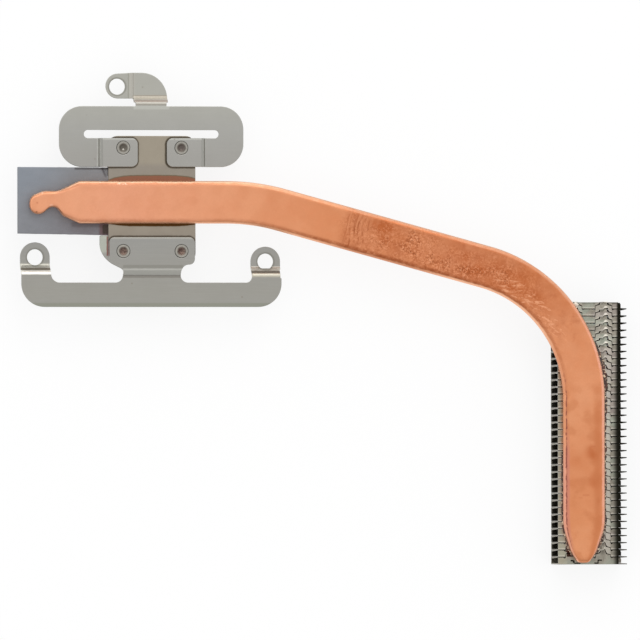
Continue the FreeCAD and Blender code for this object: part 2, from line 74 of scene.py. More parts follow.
# pad: its corner past a fold line, given by a place and a slope, is pressed down from PRESSED_Y up
FOLD_AT = (-8.6, 6.0)
FOLD_SLOPE = 2.4
PRESSED_Y = 3.6
PRESSED_DEEP = 0.22

# heat pipe, from its box and the bends of the drawn centre line
PIPE_HALF = 3.4
PIPE_EDGE_R = 0.88
PIPE_Y = pipe_hi[1] - PIPE_HALF
RUN_X = pipe_hi[0] - PIPE_HALF
TAIL_X = pipe_lo[0]
TIP_Y = pipe_lo[1]
BEND_1_X = 16.4
BEND_1_R = 33.4
BEND_1_TURN = math.radians(15.35)
BEND_2_R = 21.8
BEND_2_TURN = math.radians(90) - BEND_1_TURN
TAIL_THIN = 0.5
TAIL_RAMP = (-15.9, -13.4)

# stretches of the centre line: where each ends, and the heading there
CUT_1 = BEND_1_R * math.tan(BEND_1_TURN / 2)
CUT_2 = BEND_2_R * math.tan(BEND_2_TURN / 2)
CORNER_2_Y = PIPE_Y - (RUN_X - BEND_1_X) * math.tan(BEND_1_TURN)
MIDDLE_RUN = (RUN_X - BEND_1_X) / math.cos(BEND_1_TURN) - CUT_1 - CUT_2
PIPE_AT = np.cumsum([0, BEND_1_X - CUT_1 - TAIL_X, BEND_1_R * BEND_1_TURN, MIDDLE_RUN,
                     BEND_2_R * BEND_2_TURN, CORNER_2_Y - CUT_2 - TIP_Y])
PIPE_HEADING = -np.cumsum([0, 0, BEND_1_TURN, 0, BEND_2_TURN, 0])
PIPE_LENGTH = PIPE_AT[-1]

# corners of the tail's two sides as x, distance from the centre line, radius
TAIL_UPPER = [(TAIL_X, -0.55, 0), (TAIL_X, 0.9, 1.4), (-17.7, 1.8, 3.0), (-15.3, 1.8, 3.0),
              (-11.9, 3.4, 1.5), (-9.0, 3.4, 0)]
TAIL_LOWER = [(TAIL_X, -0.5, 0), (TAIL_X, -1.93, 1.4), (-17.95, -1.93, 1.4), (-16.55, -0.8, 1.0),
              (-15.55, -0.8, 1.0), (-14.45, -2.25, 2.0), (-11.9, -3.4, 1.5), (-9.0, -3.4, 0)]

# corners of the tip's outline as distance from its end, half width, radius
TIP_SIDE = [(0, 0.02, 0), (0, 0.84, 0.8), (1.5, 2.0, 4.0), (5.6, 3.4, 9.0), (9.0, 3.4, 0)]
TIP_SHIFT = -0.1

# distances along the pipe: its wrinkled length, how dark the painted shade line inside its lower rim is, how
# pale the painted highlight on the rim
WRINKLE_S = (51.3, 56.2)
LOWER_SHADE_LINE = ((0, 10, 30, 40, 50, 56, 80, 90, 100, 140),
              (0.2, 0.3, 0.25, 0.45, 0.7, 0.95, 0.8, 0.45, 0.15, 0.25))
LOWER_RIM_HIGHLIGHT = ((0, 20, 46, 52, 64, 70, 90, 96, 140), (0.95, 0.7, 0.8, 0.4, 0.25, 1, 1, 0.2, 0.2))

# zipper fins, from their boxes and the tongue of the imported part, with the joints opened a little: a tongue's
# corners along X and how far each stands out, and how they move where the neck or the foot is widened
FIN_PITCH = next_fin_lo[1] - fin_lo[1]
FIN_T = 0.2
FIN_RAKE = 0.2
FLANGE_END_X = RUN_X + 5.8
TONGUE_X = (RUN_X + 0.98 - 2.45, RUN_X + 0.98 + 2.45)
TONGUE_OUT = np.array([-1.35, -1.3, -0.62, -0.53, -0.1, 0.2, 0.45, 0.62, 1.3, 1.35])
TONGUE_REACH = np.array([0.0, 0.5, 0.7, 1.0, 1.05, 1.28, 1.3, 0.7, 0.5, 0.0])
SIDE_MOVE = np.array([0, 0, -1, -1, 0, 0, 1.4, 1.4, 0, 0])
FOOT_MOVE = np.array([-1, -1, 0, 0, 0, 0, 0, 0, 1, 1])
NOTCH_GROW = 0.08
NOTCH_SIDE = 0.16
FREE_GAP = 0.03
FOLD_GAP = 0.08
HOOK_OUT = (1.37, 1.44, 1.58, 1.7)
HOOK_DEPTH = 0.12

# the right side of the right tongues is drawn in beside the pipe, past PULL_FROM, by up to PULL_MOST
PULL_FROM = 0.15
PULL_MOST = 0.3

# fins by number from the tip up: those whose tongues the pipe covers, and where it begins to show them
LAST_FIN = len(FIN_NAMES) - 1
COVERED = range(3, 24)
HALF_COVERED = 30

# rivets by X and Y
RIVETS = ((-4.7, 8.25), (4.7, 8.25), (-4.7, -8.25), (4.7, -8.25))

# tones chosen along the pipe and up the brackets, as distance, red, green, blue
COPPER_TONES = ((0, 228, 158, 120), (14, 229, 160, 126), (36, 221, 148, 108), (50.6, 217, 141, 98),
                (51.8, 194, 116, 75), (64, 197, 117, 75), (72, 189, 108, 68), (82, 192, 111, 68),
                (97, 220, 146, 104), (108, 221, 149, 107), (114, 212, 136, 93), (120, 216, 142, 99),
                (132, 217, 143, 99))
SPRING_TONES = ((0, 159, 158, 153), (5, 158, 156, 149), (9, 157, 155, 149), (14, 155, 154, 150),
                (27, 164, 162, 157), (31, 168, 167, 162), (36, 175, 174, 166), (41, 175, 174, 166))

# stains and pitted places on the pipe: distance along, place across as a share of its half width, half
# length, half width as a share, strength
ORANGE_SPOTS = ((57.2, 0.5, 1.8, 0.28, 0.9), (58.0, 0.0, 1.5, 0.4, 0.5), (63.0, -0.2, 2.0, 0.4, 0.3),
                (72.0, 0.2, 3.4, 0.35, 0.45), (73.6, -0.25, 2.2, 0.3, 0.8), (79.0, 0.1, 3.6, 0.3, 0.55),
                (81.0, -0.4, 2.2, 0.25, 0.65), (84.5, -0.1, 2.4, 0.3, 0.35), (112.1, 0.4, 1.9, 0.38, 0.55),
                (116.8, 0.5, 1.7, 0.32, 0.48), (113.7, -0.5, 1.1, 0.4, 0.42), (120.0, 0.65, 0.7, 0.14, 0.5))
PITTED_SPOTS = ((53.5, 0.0, 2.4, 0.9, 0.6), (58.0, -0.1, 3.0, 0.8, 0.7), (63.0, 0.1, 3.4, 0.75, 0.85),
                (67.5, -0.35, 4.0, 0.6, 0.75), (73.0, -0.45, 4.0, 0.55, 0.8), (78.0, -0.2, 3.2, 0.75, 0.75),
                (83.0, -0.4, 3.0, 0.5, 0.45), (88.0, -0.6, 3.6, 0.3, 0.4))

# scratches and stains, and on the brackets painted highlight and painted shade along folds and edges: box x0,
# x1, y0, y1, softness, tint, strength
COPPER_MARKS = (
    ((-18.85, -18.6, -0.7, -0.45), 0.3, (186, 106, 78), 0.7),
    ((69.6, 70.7, -47.45, -47.2), 0.3, (192, 112, 76), 0.4),
    ((68.9, 69.6, -47.9, -47.6), 0.3, (196, 118, 80), 0.3),
    ((70.9, 71.7, -39.65, -39.4), 0.3, (188, 108, 70), 0.35),
    ((-18.95, -18.7, -2.1, -1.9), 0.3, (70, 40, 30), 0.8),
    ((-16.7, -16.2, -1.1, -0.8), 0.3, (246, 190, 160), 0.7))
# brackets: painted highlight and painted shade in bands across each fold and joggle, painted highlight along
# the tabs' and the head's upper edges and a pale one at the head's left end, a red-brown flux stain, and a
# darker band along the bar's lower edge
SPRING_SHADING_AND_STAINS = (
    ((-2.9, 2.9, 16.05, 16.7), 0.16, (168, 161, 148), 1.0),
    ((-2.9, 2.9, 15.52, 15.98), 0.12, (150, 138, 128), 0.9),
    ((-2.9, 2.9, 15.0, 15.42), 0.14, (158, 154, 145), 1.0),
    ((-2.9, 2.9, 14.4, 15.0), 0.3, (194, 194, 186), 0.6),
    ((-3.56, -3.42, 15.6, 21), 0.12, (140, 140, 127), 0.7),
    ((-3.36, -2.6, 15.6, 21), 0.5, (182, 178, 169), 0.6),
    ((-8.8, -8.35, 5.0, 9.8), 0.2, (196, 196, 190), 0.6),
    ((-8.35, -8.0, 5.0, 9.8), 0.2, (138, 138, 132), 0.6),
    ((7.95, 8.25, 5.0, 9.8), 0.2, (138, 138, 132), 0.6),
    ((8.3, 8.8, 5.0, 9.8), 0.2, (178, 178, 172), 0.55),
    ((-8.0, -2.6, 9.5, 9.72), 0.12, (196, 196, 188), 0.6),
    ((2.6, 8.0, 9.5, 9.72), 0.12, (196, 196, 188), 0.6),
    ((-4.8, 4.9, -12.5, -12.1), 0.14, (136, 132, 125), 0.9),
    ((-4.8, 4.9, -12.02, -11.05), 0.14, (184, 183, 176), 1.0),
    ((-4.8, 4.9, -10.93, -10.45), 0.14, (142, 140, 133), 0.9),
    ((-22, -16, -10.9, -10.2), 0.3, (205, 202, 190), 0.9),
    ((-22, -16, -11.28, -10.93), 0.1, (128, 120, 106), 0.9),
    ((-22, -16, -11.98, -11.28), 0.1, (232, 229, 219), 1.0),
    ((16, 22, -11.35, -10.7), 0.2, (190, 185, 174), 0.9),
    ((16, 22, -11.74, -11.36), 0.1, (112, 104, 93), 0.9),
    ((16, 22, -12.38, -11.76), 0.1, (184, 179, 165), 1.0),
    ((-8.0, 7.2, -6.3, -5.9), 0.2, (190, 187, 178), 0.5),
    ((-8.6, -7.1, -8.5, -5.5), 0.6, (184, 188, 174), 0.6),
    ((-7.42, -6.95, -9.0, -5.9), 0.12, (120, 62, 55), 0.8),
    ((-30, 30, -17.4, -16.5), 0.3, (138, 140, 126), 0.6))

# screw holes by X and Y, and their radius
SCREW_HOLES = ((-5.3, 18.05), (-18.62, -9.2), (18.67, -9.87))
HOLE_R = 1.28

# marks on the fins: black stepped strokes at each side of the pipe's tip, as boxes alone, then brown flux
TIP_STROKES = (
    (72.4, 73.05, -57.86, -57.66), (72.32, 72.52, -58.2, -57.7), (71.8, 72.5, -58.34, -58.12),
    (67.94, 68.43, -57.95, -57.7), (68.3, 68.6, -58.2, -57.8), (68.5, 69.56, -58.34, -58.14))
FIN_MARKS = [(box, 0.08, (24, 18, 14), 1.0) for box in TIP_STROKES] + [
    ((67.3, 68.3, -57.2, -56.3), 0.08, (46, 16, 6), 0.95),
    ((67.1, 67.7, -56.5, -55.7), 0.08, (58, 22, 10), 0.85),
    ((73.02, 73.3, -54.8, -53.0), 0.08, (36, 18, 10), 0.85),
    ((72.7, 73.0, -56.0, -55.5), 0.08, (60, 40, 28), 0.6)]

# marks on the pad, as above: painted shade along its top edge under the bracket and below the pipe, then a
# red-brown stain and dark flux
PAD_SHADE_AND_STAINS = (
    ((-12.5, -7.0, 4.75, 5.3), 0.2, (56, 52, 52), 0.7),
    ((-13.0, -7.0, -4.4, -3.6), 0.5, (84, 76, 78), 0.5),
    ((-8.5, -7.0, -6.0, -3.6), 0.5, (92, 60, 60), 0.7),
    ((-8.0, -7.0, -5.5, -4.0), 0.3, (44, 34, 18), 0.8))

# beads of flux beside the pipe: how big they are, by the distance along it; and a speck of solder by X and Y
BEAD_SIZE = ((96, 98, 104, 107, 126, 130), (0.2, 0.7, 0.65, 0.32, 0.35, 0.9))
SOLDER_SPOT = (68.85, -16.75)

# light of the sky overhead, low down, and how much more of it comes low down from +Y than from the sides
SKY_TOP = 0.98
SKY_LOW = 1.25
SKY_SIDE = 0.65
SKY_LEAST = 0.15

# floor just below the part, and how white the camera sees it
FLOOR_Z = cad_lo.z / MM - 0.02
FLOOR_REACH = 3000.0
FLOOR_WHITE = 0.85

# middle of the view in millimetres; its distance and width in metres
VIEW_MIDDLE = (27.11, -19.24, 1.7)
VIEW_DISTANCE = 2.4
VIEW_WIDTH = 102.32 * MM

# the camera's own right and back, before they are squared up: it leans to the left side
VIEW_RIGHT = (0.985, -0.0018, 0.1733)
VIEW_BACK = (-0.1733, -0.010, 0.985)

# lamp in metres: where it aims, how far off it stands, its width; and its power
LAMP_AIM = (0.027, -0.019, 0)
LAMP_OFF = (0.1, 0.6, 0.6)
LAMP_WIDTH = 0.5
LAMP_POWER = 0.8

rng = np.random.default_rng(7)


def step_between(values, start, end):
    """Smooth step: 0 before start, 1 after end, with no kink between."""
    t = np.clip((np.asarray(values, float) - start) / (end - start), 0, 1)
    return t * t * (3 - 2 * t)


def rounded(corners, steps=14):
    """Points along a line of (x, y, r) corners, each corner an arc tangent to both sides."""
    points = [np.array(corners[0][:2])]
    for before, (x, y, r), after in zip(corners, corners[1:], corners[2:]):
        here = np.array([x, y])
        back = np.array(before[:2]) - here
        ahead = np.array(after[:2]) - here
        back = back / np.linalg.norm(back)
        ahead = ahead / np.linalg.norm(ahead)
        half = math.acos(np.clip(back @ ahead, -1, 1)) / 2
        middle = back + ahead
        centre = here + middle / np.linalg.norm(middle) * (r / math.sin(half))
        start = here + back * (r / math.tan(half)) - centre
        end = here + ahead * (r / math.tan(half)) - centre
        turn = math.pi - 2 * half
        t = np.linspace(0, 1, steps)[:, None]
        arc = (np.sin((1 - t) * turn) * start + np.sin(t * turn) * end) / math.sin(turn)
        points.extend(centre + arc)
    points.append(np.array(corners[-1][:2]))
    return np.array(points).T


def read_line(values, corners):
    """Height of the rounded line of corners at each value, by straight steps between its points."""
    x, y = rounded(corners)
    return np.interp(values, x, y)


def hills(shape, cells, seed):
    """Smooth random field between -1 and 1: a coarse grid of random heights, read between by smooth steps."""
    grid = np.random.default_rng(seed).uniform(-1, 1, (cells[0] + 2, cells[1] + 2))
    u = np.linspace(0, cells[0], shape[0])
    v = np.linspace(0, cells[1], shape[1])
    i = u.astype(int)
    j = v.astype(int)
    a = step_between(u - i, 0, 1)[:, None]
    b = step_between(v - j, 0, 1)[None, :]
    low = grid[i][:, j] * (1 - b) + grid[i][:, j + 1] * b
    high = grid[i + 1][:, j] * (1 - b) + grid[i + 1][:, j + 1] * b
    return low * (1 - a) + high * a


def put_in_scene(name, data):
    """New object that holds the data, linked to the scene."""
    thing = bpy.data.objects.new(name, data)
    bpy.context.scene.collection.objects.link(thing)
    return thing


def mesh_piece(name, points, faces, finish, smooth=True):
    """Object at the origin from points in millimetres and a list of faces."""
    mesh = bpy.data.meshes.new(name)
    mesh.from_pydata((np.asarray(points) * MM).tolist(), [], faces)
    mesh.validate()
    mesh.polygons.foreach_set("use_smooth", [smooth] * len(mesh.polygons))
    mesh.update()
    piece = put_in_scene(name, mesh)
    mesh.materials.append(finish)
    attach(piece, "root")
    return piece


def face_outwards(piece):
    """Turns every face of a closed mesh outwards."""
    work = bmesh.new()
    work.from_mesh(piece.data)
    bmesh.ops.recalc_face_normals(work, faces=work.faces)
    work.to_mesh(piece.data)
    work.free()


def ring_faces(rows, columns, first=0):
    """Faces of a closed skin over rings of points, with a flat lid on the first and last ring; first is the
    number of its first point."""
    i = first + columns * np.arange(rows - 1)[:, None]
    j = np.arange(columns)[None, :]
    k = (j + 1) % columns
    quads = np.stack([i + j, i + k, i + columns + k, i + columns + j], -1)
    lid = first + np.arange(columns)
    return quads.reshape(-1, 4).tolist() + [lid.tolist(), (lid + (rows - 1) * columns).tolist()]


def lofted(name, rings, finish):
    """Closed skin over rings of points, rings[i, j]."""
    piece = mesh_piece(name, rings.reshape(-1, 3), ring_faces(*rings.shape[:2]), finish)
    face_outwards(piece)
    return piece


def paint(piece, **layers):
    """Keeps named numbers on the mesh, one a point, for its material to read."""
    for name, values in layers.items():
        layer = piece.data.attributes.new(name, "FLOAT", "POINT")
        layer.data.foreach_set("value", np.asarray(values, np.float32).ravel())


def unit_section(corner_steps=8, top_steps=18, foot_steps=6):
    """Rounded box section as four columns: how much of the flat half width and half height each point
    takes, and how much of the edge radius in each direction. It runs from the left edge over the top."""
    turn = np.linspace(0, math.pi / 2, corner_steps)
    columns = []
    for start, across, up in ((0, 1, 1), (1, -1, 1), (2, -1, -1), (3, 1, -1)):
        a = turn + start * math.pi / 2
        columns.append(np.stack([np.full_like(a, across), np.full_like(a, up), np.cos(a), np.sin(a)], 1))
        steps = {0: top_steps, 2: foot_steps}.get(start)
        if steps:
            f = np.linspace(1, -1, steps + 2)[1:-1] * across
            columns.append(np.stack([f, np.full_like(f, up), np.zeros_like(f), np.full_like(f, up)], 1))
    return np.concatenate(columns)


def path_rings(centres, normals, across, up):
    """Rings of points carried along a path, each across along its normal and up in Z."""
    level = centres[:, None] + normals[:, None] * across[..., None]
    return np.concatenate([level, up[..., None]], -1)


def carried_section(centres, normals, left, right, low, high, edge_r, section):
    """Rings of a rounded box section carried along a path. At each station the section spans from right
    to left of the path along the level normal and from low to high; its edge radius is edge_r or less."""
    half_w = (left - right) / 2
    half_h = (high - low) / 2
    r = np.minimum(np.minimum(edge_r, half_w), half_h)[:, None]
    across = section[:, 0] * (half_w[:, None] - r) + section[:, 2] * r
    up = section[:, 1] * (half_h[:, None] - r) + section[:, 3] * r
    across = across + ((left + right) / 2)[:, None]
    up = up + ((low + high) / 2)[:, None]
    return path_rings(centres, normals, across, up), across


def pipe_path(stations):
    """Centre line of the pipe: straight, bend, straight, bend, straight. The heading is the running sum
    of curvature, and the place the running sum of the heading."""
    fine = np.linspace(0, PIPE_LENGTH, 20001)
    angle = np.interp(fine, PIPE_AT, PIPE_HEADING)
    step = np.diff(fine)
    x = TAIL_X + np.concatenate([[0], np.cumsum(step * (np.cos(angle[1:]) + np.cos(angle[:-1])) / 2)])
    y = PIPE_Y + np.concatenate([[0], np.cumsum(step * (np.sin(angle[1:]) + np.sin(angle[:-1])) / 2)])
    here = np.interp(stations, PIPE_AT, PIPE_HEADING)
    centres = np.stack([np.interp(stations, fine, x), np.interp(stations, fine, y)], 1)
    return centres, np.stack([-np.sin(here), np.cos(here)], 1)


def end_crowded(start, end, rim, rim_steps, steps):
    """Numbers from start to end, crowded towards both ends as a circle's points are."""
    ease = rim * (1 - np.cos(np.linspace(0, math.pi / 2, rim_steps)))
    inner = np.linspace(start + rim, end - rim, steps)
    return np.concatenate([start + ease[:-1], inner, (end - ease[:-1])[::-1]])


def end_round(distance, rim):
    """Share of full height at a distance from a blunt end: a quarter circle over the length rim."""
    t = np.clip(distance / rim, 0.04, 1)
    return np.sqrt(1 - (1 - t) ** 2)


def make_pipe(finish):
    """Flattened tube with its pinched tail and swaged tip, as one carried section."""
    s = np.concatenate([end_crowded(0, 10, 1.2, 14, 90)[:-14], np.linspace(9, PIPE_LENGTH - 9, 460),
                        np.linspace(WRINKLE_S[0] - 1, WRINKLE_S[1] + 1, 110),
                        end_crowded(PIPE_LENGTH - 10, PIPE_LENGTH, 1.2, 14, 90)[14:]])
    s = np.unique(np.round(s, 6))
    centres, normals = pipe_path(s)
    x = centres[:, 0]
    to_tip = PIPE_LENGTH - s
    left = np.where(s < 12, read_line(x, TAIL_UPPER), read_line(to_tip, TIP_SIDE))
    right = np.where(s < 12, read_line(x, TAIL_LOWER), -read_line(to_tip, TIP_SIDE))
    shift = TIP_SHIFT * (1 - step_between(to_tip, 1.5, 6))
    tall = (pipe_hi[2] - pipe_lo[2]) - TAIL_THIN * (1 - step_between(x, *TAIL_RAMP))
    half_h = tall / 2 * np.minimum(end_round(s, 0.5), end_round(to_tip, 0.8))
    middle = pipe_lo[2] + tall / 2
    section = unit_section()
    rings, across = carried_section(centres, normals, left + shift, right + shift,
                                    middle - half_h, middle + half_h, PIPE_EDGE_R, section)
    share = (across - ((left + right) / 2 + shift)[:, None]) / np.maximum((left - right) / 2, 0.05)[:, None]
    is_top = section[:, 1] > 0
    crest = np.where(is_top, 1 - np.abs(share) ** 3, 0)
    wrinkled = step_between(s, WRINKLE_S[0] - 0.3, WRINKLE_S[0] + 0.4)
    wrinkled = wrinkled * (1 - 0.25 * step_between(s, WRINKLE_S[0] + 0.9, WRINKLE_S[0] + 1.8))
    wrinkled = wrinkled * (1 - 0.85 * step_between(s, WRINKLE_S[1] - 2.5, WRINKLE_S[1] + 0.5))
    drift = 0.6 * hills(share.shape, (160, 8), 21) + 1.0 * hills(share.shape, (60, 4), 22)
    wave = np.sin(2 * math.pi * (x[:, None] / 0.72 + 0.3 * np.sin(3.1 * share + 0.4) + 0.36 * drift))
    wave = wave * np.clip(0.8 + 0.9 * hills(share.shape, (200, 5), 27), 0.1, 1.3)
    bumps = hills(share.shape, (70, 10), 11)
    worn = step_between(s, WRINKLE_S[0], WRINKLE_S[0] + 1) * (1 - 0.8 * step_between(-centres[:, 1], 20, 27))
    dip = 0.02 + 0.02 * crest + 0.014 * wrinkled[:, None] * (1 + wave)
    rings[..., 2] -= (dip + 0.01 * (worn[:, None] + 0.3) * (1 + bumps)) * crest
    piece = lofted("heat_pipe_tube", rings, finish)
    full = np.ones_like(share)
    # line is painted shade inside the lower rim, pale a painted highlight on that rim, wave painted shade and
    # highlight over the wrinkles
    line = np.interp(s, *LOWER_SHADE_LINE)[:, None] * (1 + 0.35 * hills(share.shape, (60, 1), 31))
    paint(piece, across=share, along=s[:, None] * full, worn=worn[:, None] * full,
          wave=wrinkled[:, None] * crest * wave, line=line, pale=np.interp(s, *LOWER_RIM_HIGHLIGHT)[:, None] * full)
    ragged = 1.3 + 0.7 * hills(share.shape, (160, 12), 33)
    for name, spots in (("patch", ORANGE_SPOTS), ("pitted", PITTED_SPOTS)):
        at, off, long, wide, strength = np.array(spots).T[:, :, None, None]
        shade = strength * np.exp(-((s[:, None] - at) / long) ** 2 - ((share - off) / wide) ** 2)
        paint(piece, **{name: np.clip(shade.max(0) * ragged, 0, 1)})
    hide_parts("heat_pipe")


def make_pad(finish):
    """Soft pad: a rounded box section carried along X, one corner pressed down, its face a little uneven."""
    x = np.concatenate([end_crowded(pad_lo[0], pad_hi[0], 0.12, 5, 90), np.linspace(-8.7, -7.2, 24)])
    x = np.unique(x)
    upper = np.interp(x, [pad_lo[0], pad_hi[0]], [pad_hi[1] + 0.04, pad_hi[1] - 0.02])
    lower = np.interp(x, [pad_lo[0], pad_hi[0]], [pad_lo[1] + 0.25, pad_lo[1]])
    ends = end_round(np.minimum(x - pad_lo[0], pad_hi[0] - x), 0.12)
    half_h = (pad_hi[2] - pad_lo[2]) / 2 * (0.85 + 0.15 * ends)
    middle = np.full_like(x, (pad_hi[2] + pad_lo[2]) / 2)
    centres = np.stack([x, np.zeros_like(x)], 1)
    normals = np.stack([np.zeros_like(x), np.ones_like(x)], 1)
    section = unit_section(4, 70, 8)
    rings, across = carried_section(centres, normals, upper, lower, middle - half_h, middle + half_h,
                                    0.12, section)
    is_top = section[:, 1] > 0
    rings[..., 2] -= np.where(is_top, 0.03 * (1 + hills(across.shape, (9, 16), 5)), 0)
    rings[..., 1] += 0.02 * hills(across.shape, (24, 3), 6) * np.abs(section[:, 2])
    past_fold = (rings[..., 0] - FOLD_AT[0]) * FOLD_SLOPE + rings[..., 1] - FOLD_AT[1]
    past_fold = past_fold / math.hypot(1, FOLD_SLOPE)
    pressed = step_between(past_fold, 0, 0.22) * step_between(rings[..., 1], PRESSED_Y, PRESSED_Y + 0.25)
    rings[..., 2] -= np.where(is_top, PRESSED_DEEP * pressed, 0)
    piece = lofted("thermal_pad_sheet", rings, finish)
    # crease: where painted shade lies, along the fold of the pressed corner
    crease = np.clip(1 - np.abs(past_fold - 0.12) / 0.3, 0, 1)
    crease = crease * step_between(rings[..., 1], PRESSED_Y - 0.2, PRESSED_Y + 0.2)
    paint(piece, crease=crease)
    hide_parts("thermal_pad")


def make_rivets(finish):
    """Four spun rivets: a foot below, a shank, a countersunk head with a rolled rim and a punched dimple."""
    foot = box_mm("rivets")[0][2]
    top = box_mm("rivets")[1][2]
    profile = np.array([(0.004, foot), (0.85, foot), (0.7, 0.35), (0.7, 1.2), (1.0, top - 0.09),
                        (1.05, top - 0.04), (1.04, top - 0.01), (0.97, top), (0.8, top), (0.66, top - 0.01),
                        (0.55, top - 0.06), (0.42, top - 0.2), (0.22, top - 0.3), (0.1, top - 0.32),
                        (0.004, top - 0.32)])
    turn = np.arange(48) / 48 * 2 * math.pi
    rim = np.array([0, 0, 0, 0, 1, 1, 0.8, 0.1, 0, 0, 0, 0, 0, 0, 0.0])
    bowl = np.array([0, 0, 0, 0, 0, 0, 0, 0, 0.1, 0.4, 0.8, 1, 1, 1, 1.0])
    points = []
    faces = []
    for number, (x, y) in enumerate(RIVETS):
        spun = np.zeros((len(profile), 48, 3))
        spun[..., 0] = x + profile[:, :1] * np.cos(turn)
        spun[..., 1] = y + profile[:, :1] * np.sin(turn)
        spun[..., 2] = profile[:, 1:]
        faces.extend(ring_faces(len(profile), 48, number * len(profile) * 48))
        points.append(spun.reshape(-1, 3))
    piece = mesh_piece("rivets_set", np.concatenate(points), faces, finish)
    face_outwards(piece)
    paint(piece, rim=np.tile(np.repeat(rim, 48), 4), bowl=np.tile(np.repeat(bowl, 48), 4))
    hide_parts("rivets")


def make_bead(name, s_range, side, wide, high, seed, finish):
    """Uneven bead of flux in the corner between pipe and fins: a half ellipse carried along the pipe's side,
    its width and height wandering."""
    s = np.arange(s_range[0], s_range[1], 0.12)
    centres, normals = pipe_path(s)
    wander = hills((len(s), 2), (int(len(s) / 5), 1), seed)[:, 0]
    slow = hills((len(s), 2), (int(len(s) / 22), 1), seed + 1)[:, 0]
    size = np.clip(0.45 + 0.45 * wander + 0.35 * slow, 0.2, 1.2)
    size = size * end_round(np.minimum(s - s[0], s[-1] - s), 0.6)
    size = size * np.interp(s, *BEAD_SIZE)
    turn = np.linspace(0, math.pi, 9)
    middle = (read_line(PIPE_LENGTH - s, TIP_SIDE) - 0.3)[:, None]
    across = middle + np.cos(turn) * (0.5 + 0.12 * side + wide * size)[:, None]
    up = pipe_lo[2] - 0.03 + np.sin(turn) * (high * (0.35 + 0.65 * size))[:, None]
    lofted(name, path_rings(centres, normals, across * side, up), finish)


def make_blob(name, x, y, half_x, half_y, high, seed, finish, slot):
    """Small solder splash: a flattened dome with a ragged foot."""
    turn = np.arange(24) / 24 * 2 * math.pi
    rise = np.linspace(0, 0.96 * math.pi / 2, 7)
    ragged = 1 + 0.25 * hills((25, 2), (7, 1), seed)[:24, 0]
    rings = np.zeros((7, 24, 3))
    rings[..., 0] = x + half_x * np.cos(rise)[:, None] * ragged * np.cos(turn)
    rings[..., 1] = y + half_y * np.cos(rise)[:, None] * ragged * np.sin(turn)
    rings[..., 2] = fin_hi[2] - 0.02 + high * np.sin(rise)[:, None]
    lofted(name, rings, finish)


def softened(node, name, finish, width):
    """A node's own solid with its loose triangles joined, its flats made whole, and its edges broken."""
    work = bmesh.new()
    work.from_mesh(nodes[node].data)
    bmesh.ops.remove_doubles(work, verts=work.verts, dist=0.002 * MM)
    bmesh.ops.dissolve_limit(work, angle_limit=math.radians(1.5), verts=work.verts, edges=work.edges)
    work.verts.ensure_lookup_table()
    work.verts.index_update()
    points = [v.co / MM for v in work.verts]
    faces = [[v.index for v in f.verts] for f in work.faces]
    work.free()
    piece = mesh_piece(name, points, faces, finish)
    face_outwards(piece)
    bevel = piece.modifiers.new("broken edges", "BEVEL")
    bevel.width = width * MM
    bevel.segments = 2
    bevel.limit_method = "ANGLE"
    bevel.angle_limit = math.radians(32)
    bevel.use_clamp_overlap = False
    bevel.harden_normals = True
    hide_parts(node)


def from_tongue(x, pull):
    """Signed distance along X from each place to the nearest tongue's middle; the right side of the right
    tongue is drawn in by pull."""
    away = x[:, None] - np.array(TONGUE_X)
    nearest = np.argmin(np.abs(away), -1)
    away = np.take_along_axis(away, nearest[:, None], -1)[:, 0]
    drawn_in = np.interp(away, (-9, 0, PULL_FROM, 9), (-9, 0, PULL_FROM + pull, 9 + pull))
    return np.where(nearest == 1, drawn_in, away)


def tongue_reach(x, grow, side, pull):
    """How far a zipper tongue stands past the joint at x: wide foot, sloping shoulders, a neck that is
    lower on its left; grow widens it all round, side widens the neck."""
    out = TONGUE_OUT + SIDE_MOVE * side + FOOT_MOVE * grow
    reach = TONGUE_REACH + grow * np.array([0, 1, 1, 0.4, 0.3, 0.3, 0.7, 1, 1, 0])
    away = from_tongue(x, pull)
    low = np.where((x > TONGUE_X[1]) & (away > 0.5), 1 - 0.8 * pull, 1)
    return np.interp(away, out, reach) * low


def flange_stations(pull):
    """Places along X where the flange is measured: even steps, and the corners of tongues and notches."""
    marks = [TONGUE_OUT, TONGUE_OUT + SIDE_MOVE * NOTCH_SIDE + FOOT_MOVE * NOTCH_GROW]
    marks.extend([np.array(HOOK_OUT), -np.array(HOOK_OUT), np.array([-0.95, 0.3, 0.95])])
    marks = np.concatenate(marks)
    drawn_in = np.interp(marks, (-9, 0, PULL_FROM + pull, 9 + pull), (-9, 0, PULL_FROM, 9))
    near = [TONGUE_X[0] + marks, TONGUE_X[1] + drawn_in]
    even = np.linspace(fin_lo[0], FLANGE_END_X, 12)
    fade = FLANGE_END_X - np.array([0.9, 0.7, 0.55, 0.45, 0.3, 0.2, 0.1])
    return np.unique(np.round(np.concatenate(near + [even, fade]), 4))


def flange_section():
    """Section of the flange sheet: round fold, flat top, square free edge, flat underside. Columns are the
    share of the way across, then how far it moves in Y and Z."""
    fold_r = 0.13
    turn = np.linspace(0, math.pi / 2, 5)
    fold = np.stack([0 * turn, fold_r * (1 - np.cos(turn)), -fold_r * (1 - np.sin(turn))], 1)
    flat = np.stack([np.linspace(0.25, 0.85, 4), np.zeros(4), np.zeros(4)], 1)
    edge = np.array([(1, -0.03, 0), (1, 0, -0.03), (1, 0, -FIN_T), (0, 0, -FIN_T)])
    return np.concatenate([fold, flat, edge])


def fin_plate(x, y0, y1, z0, z1, rake):
    """Rings of a flat plate along X; its last ring leans by rake towards the top."""
    rings = np.zeros((len(x), 4, 3))
    rings[..., 0] = x[:, None]
    rings[..., 1] = (y0, y1, y1, y0)
    rings[..., 2] = (z0, z0, z1, z1)
    rings[-1, :, 0] -= rake * (rings[-1, :, 2] - fin_lo[2]) / (fin_hi[2] - fin_lo[2])
    return rings


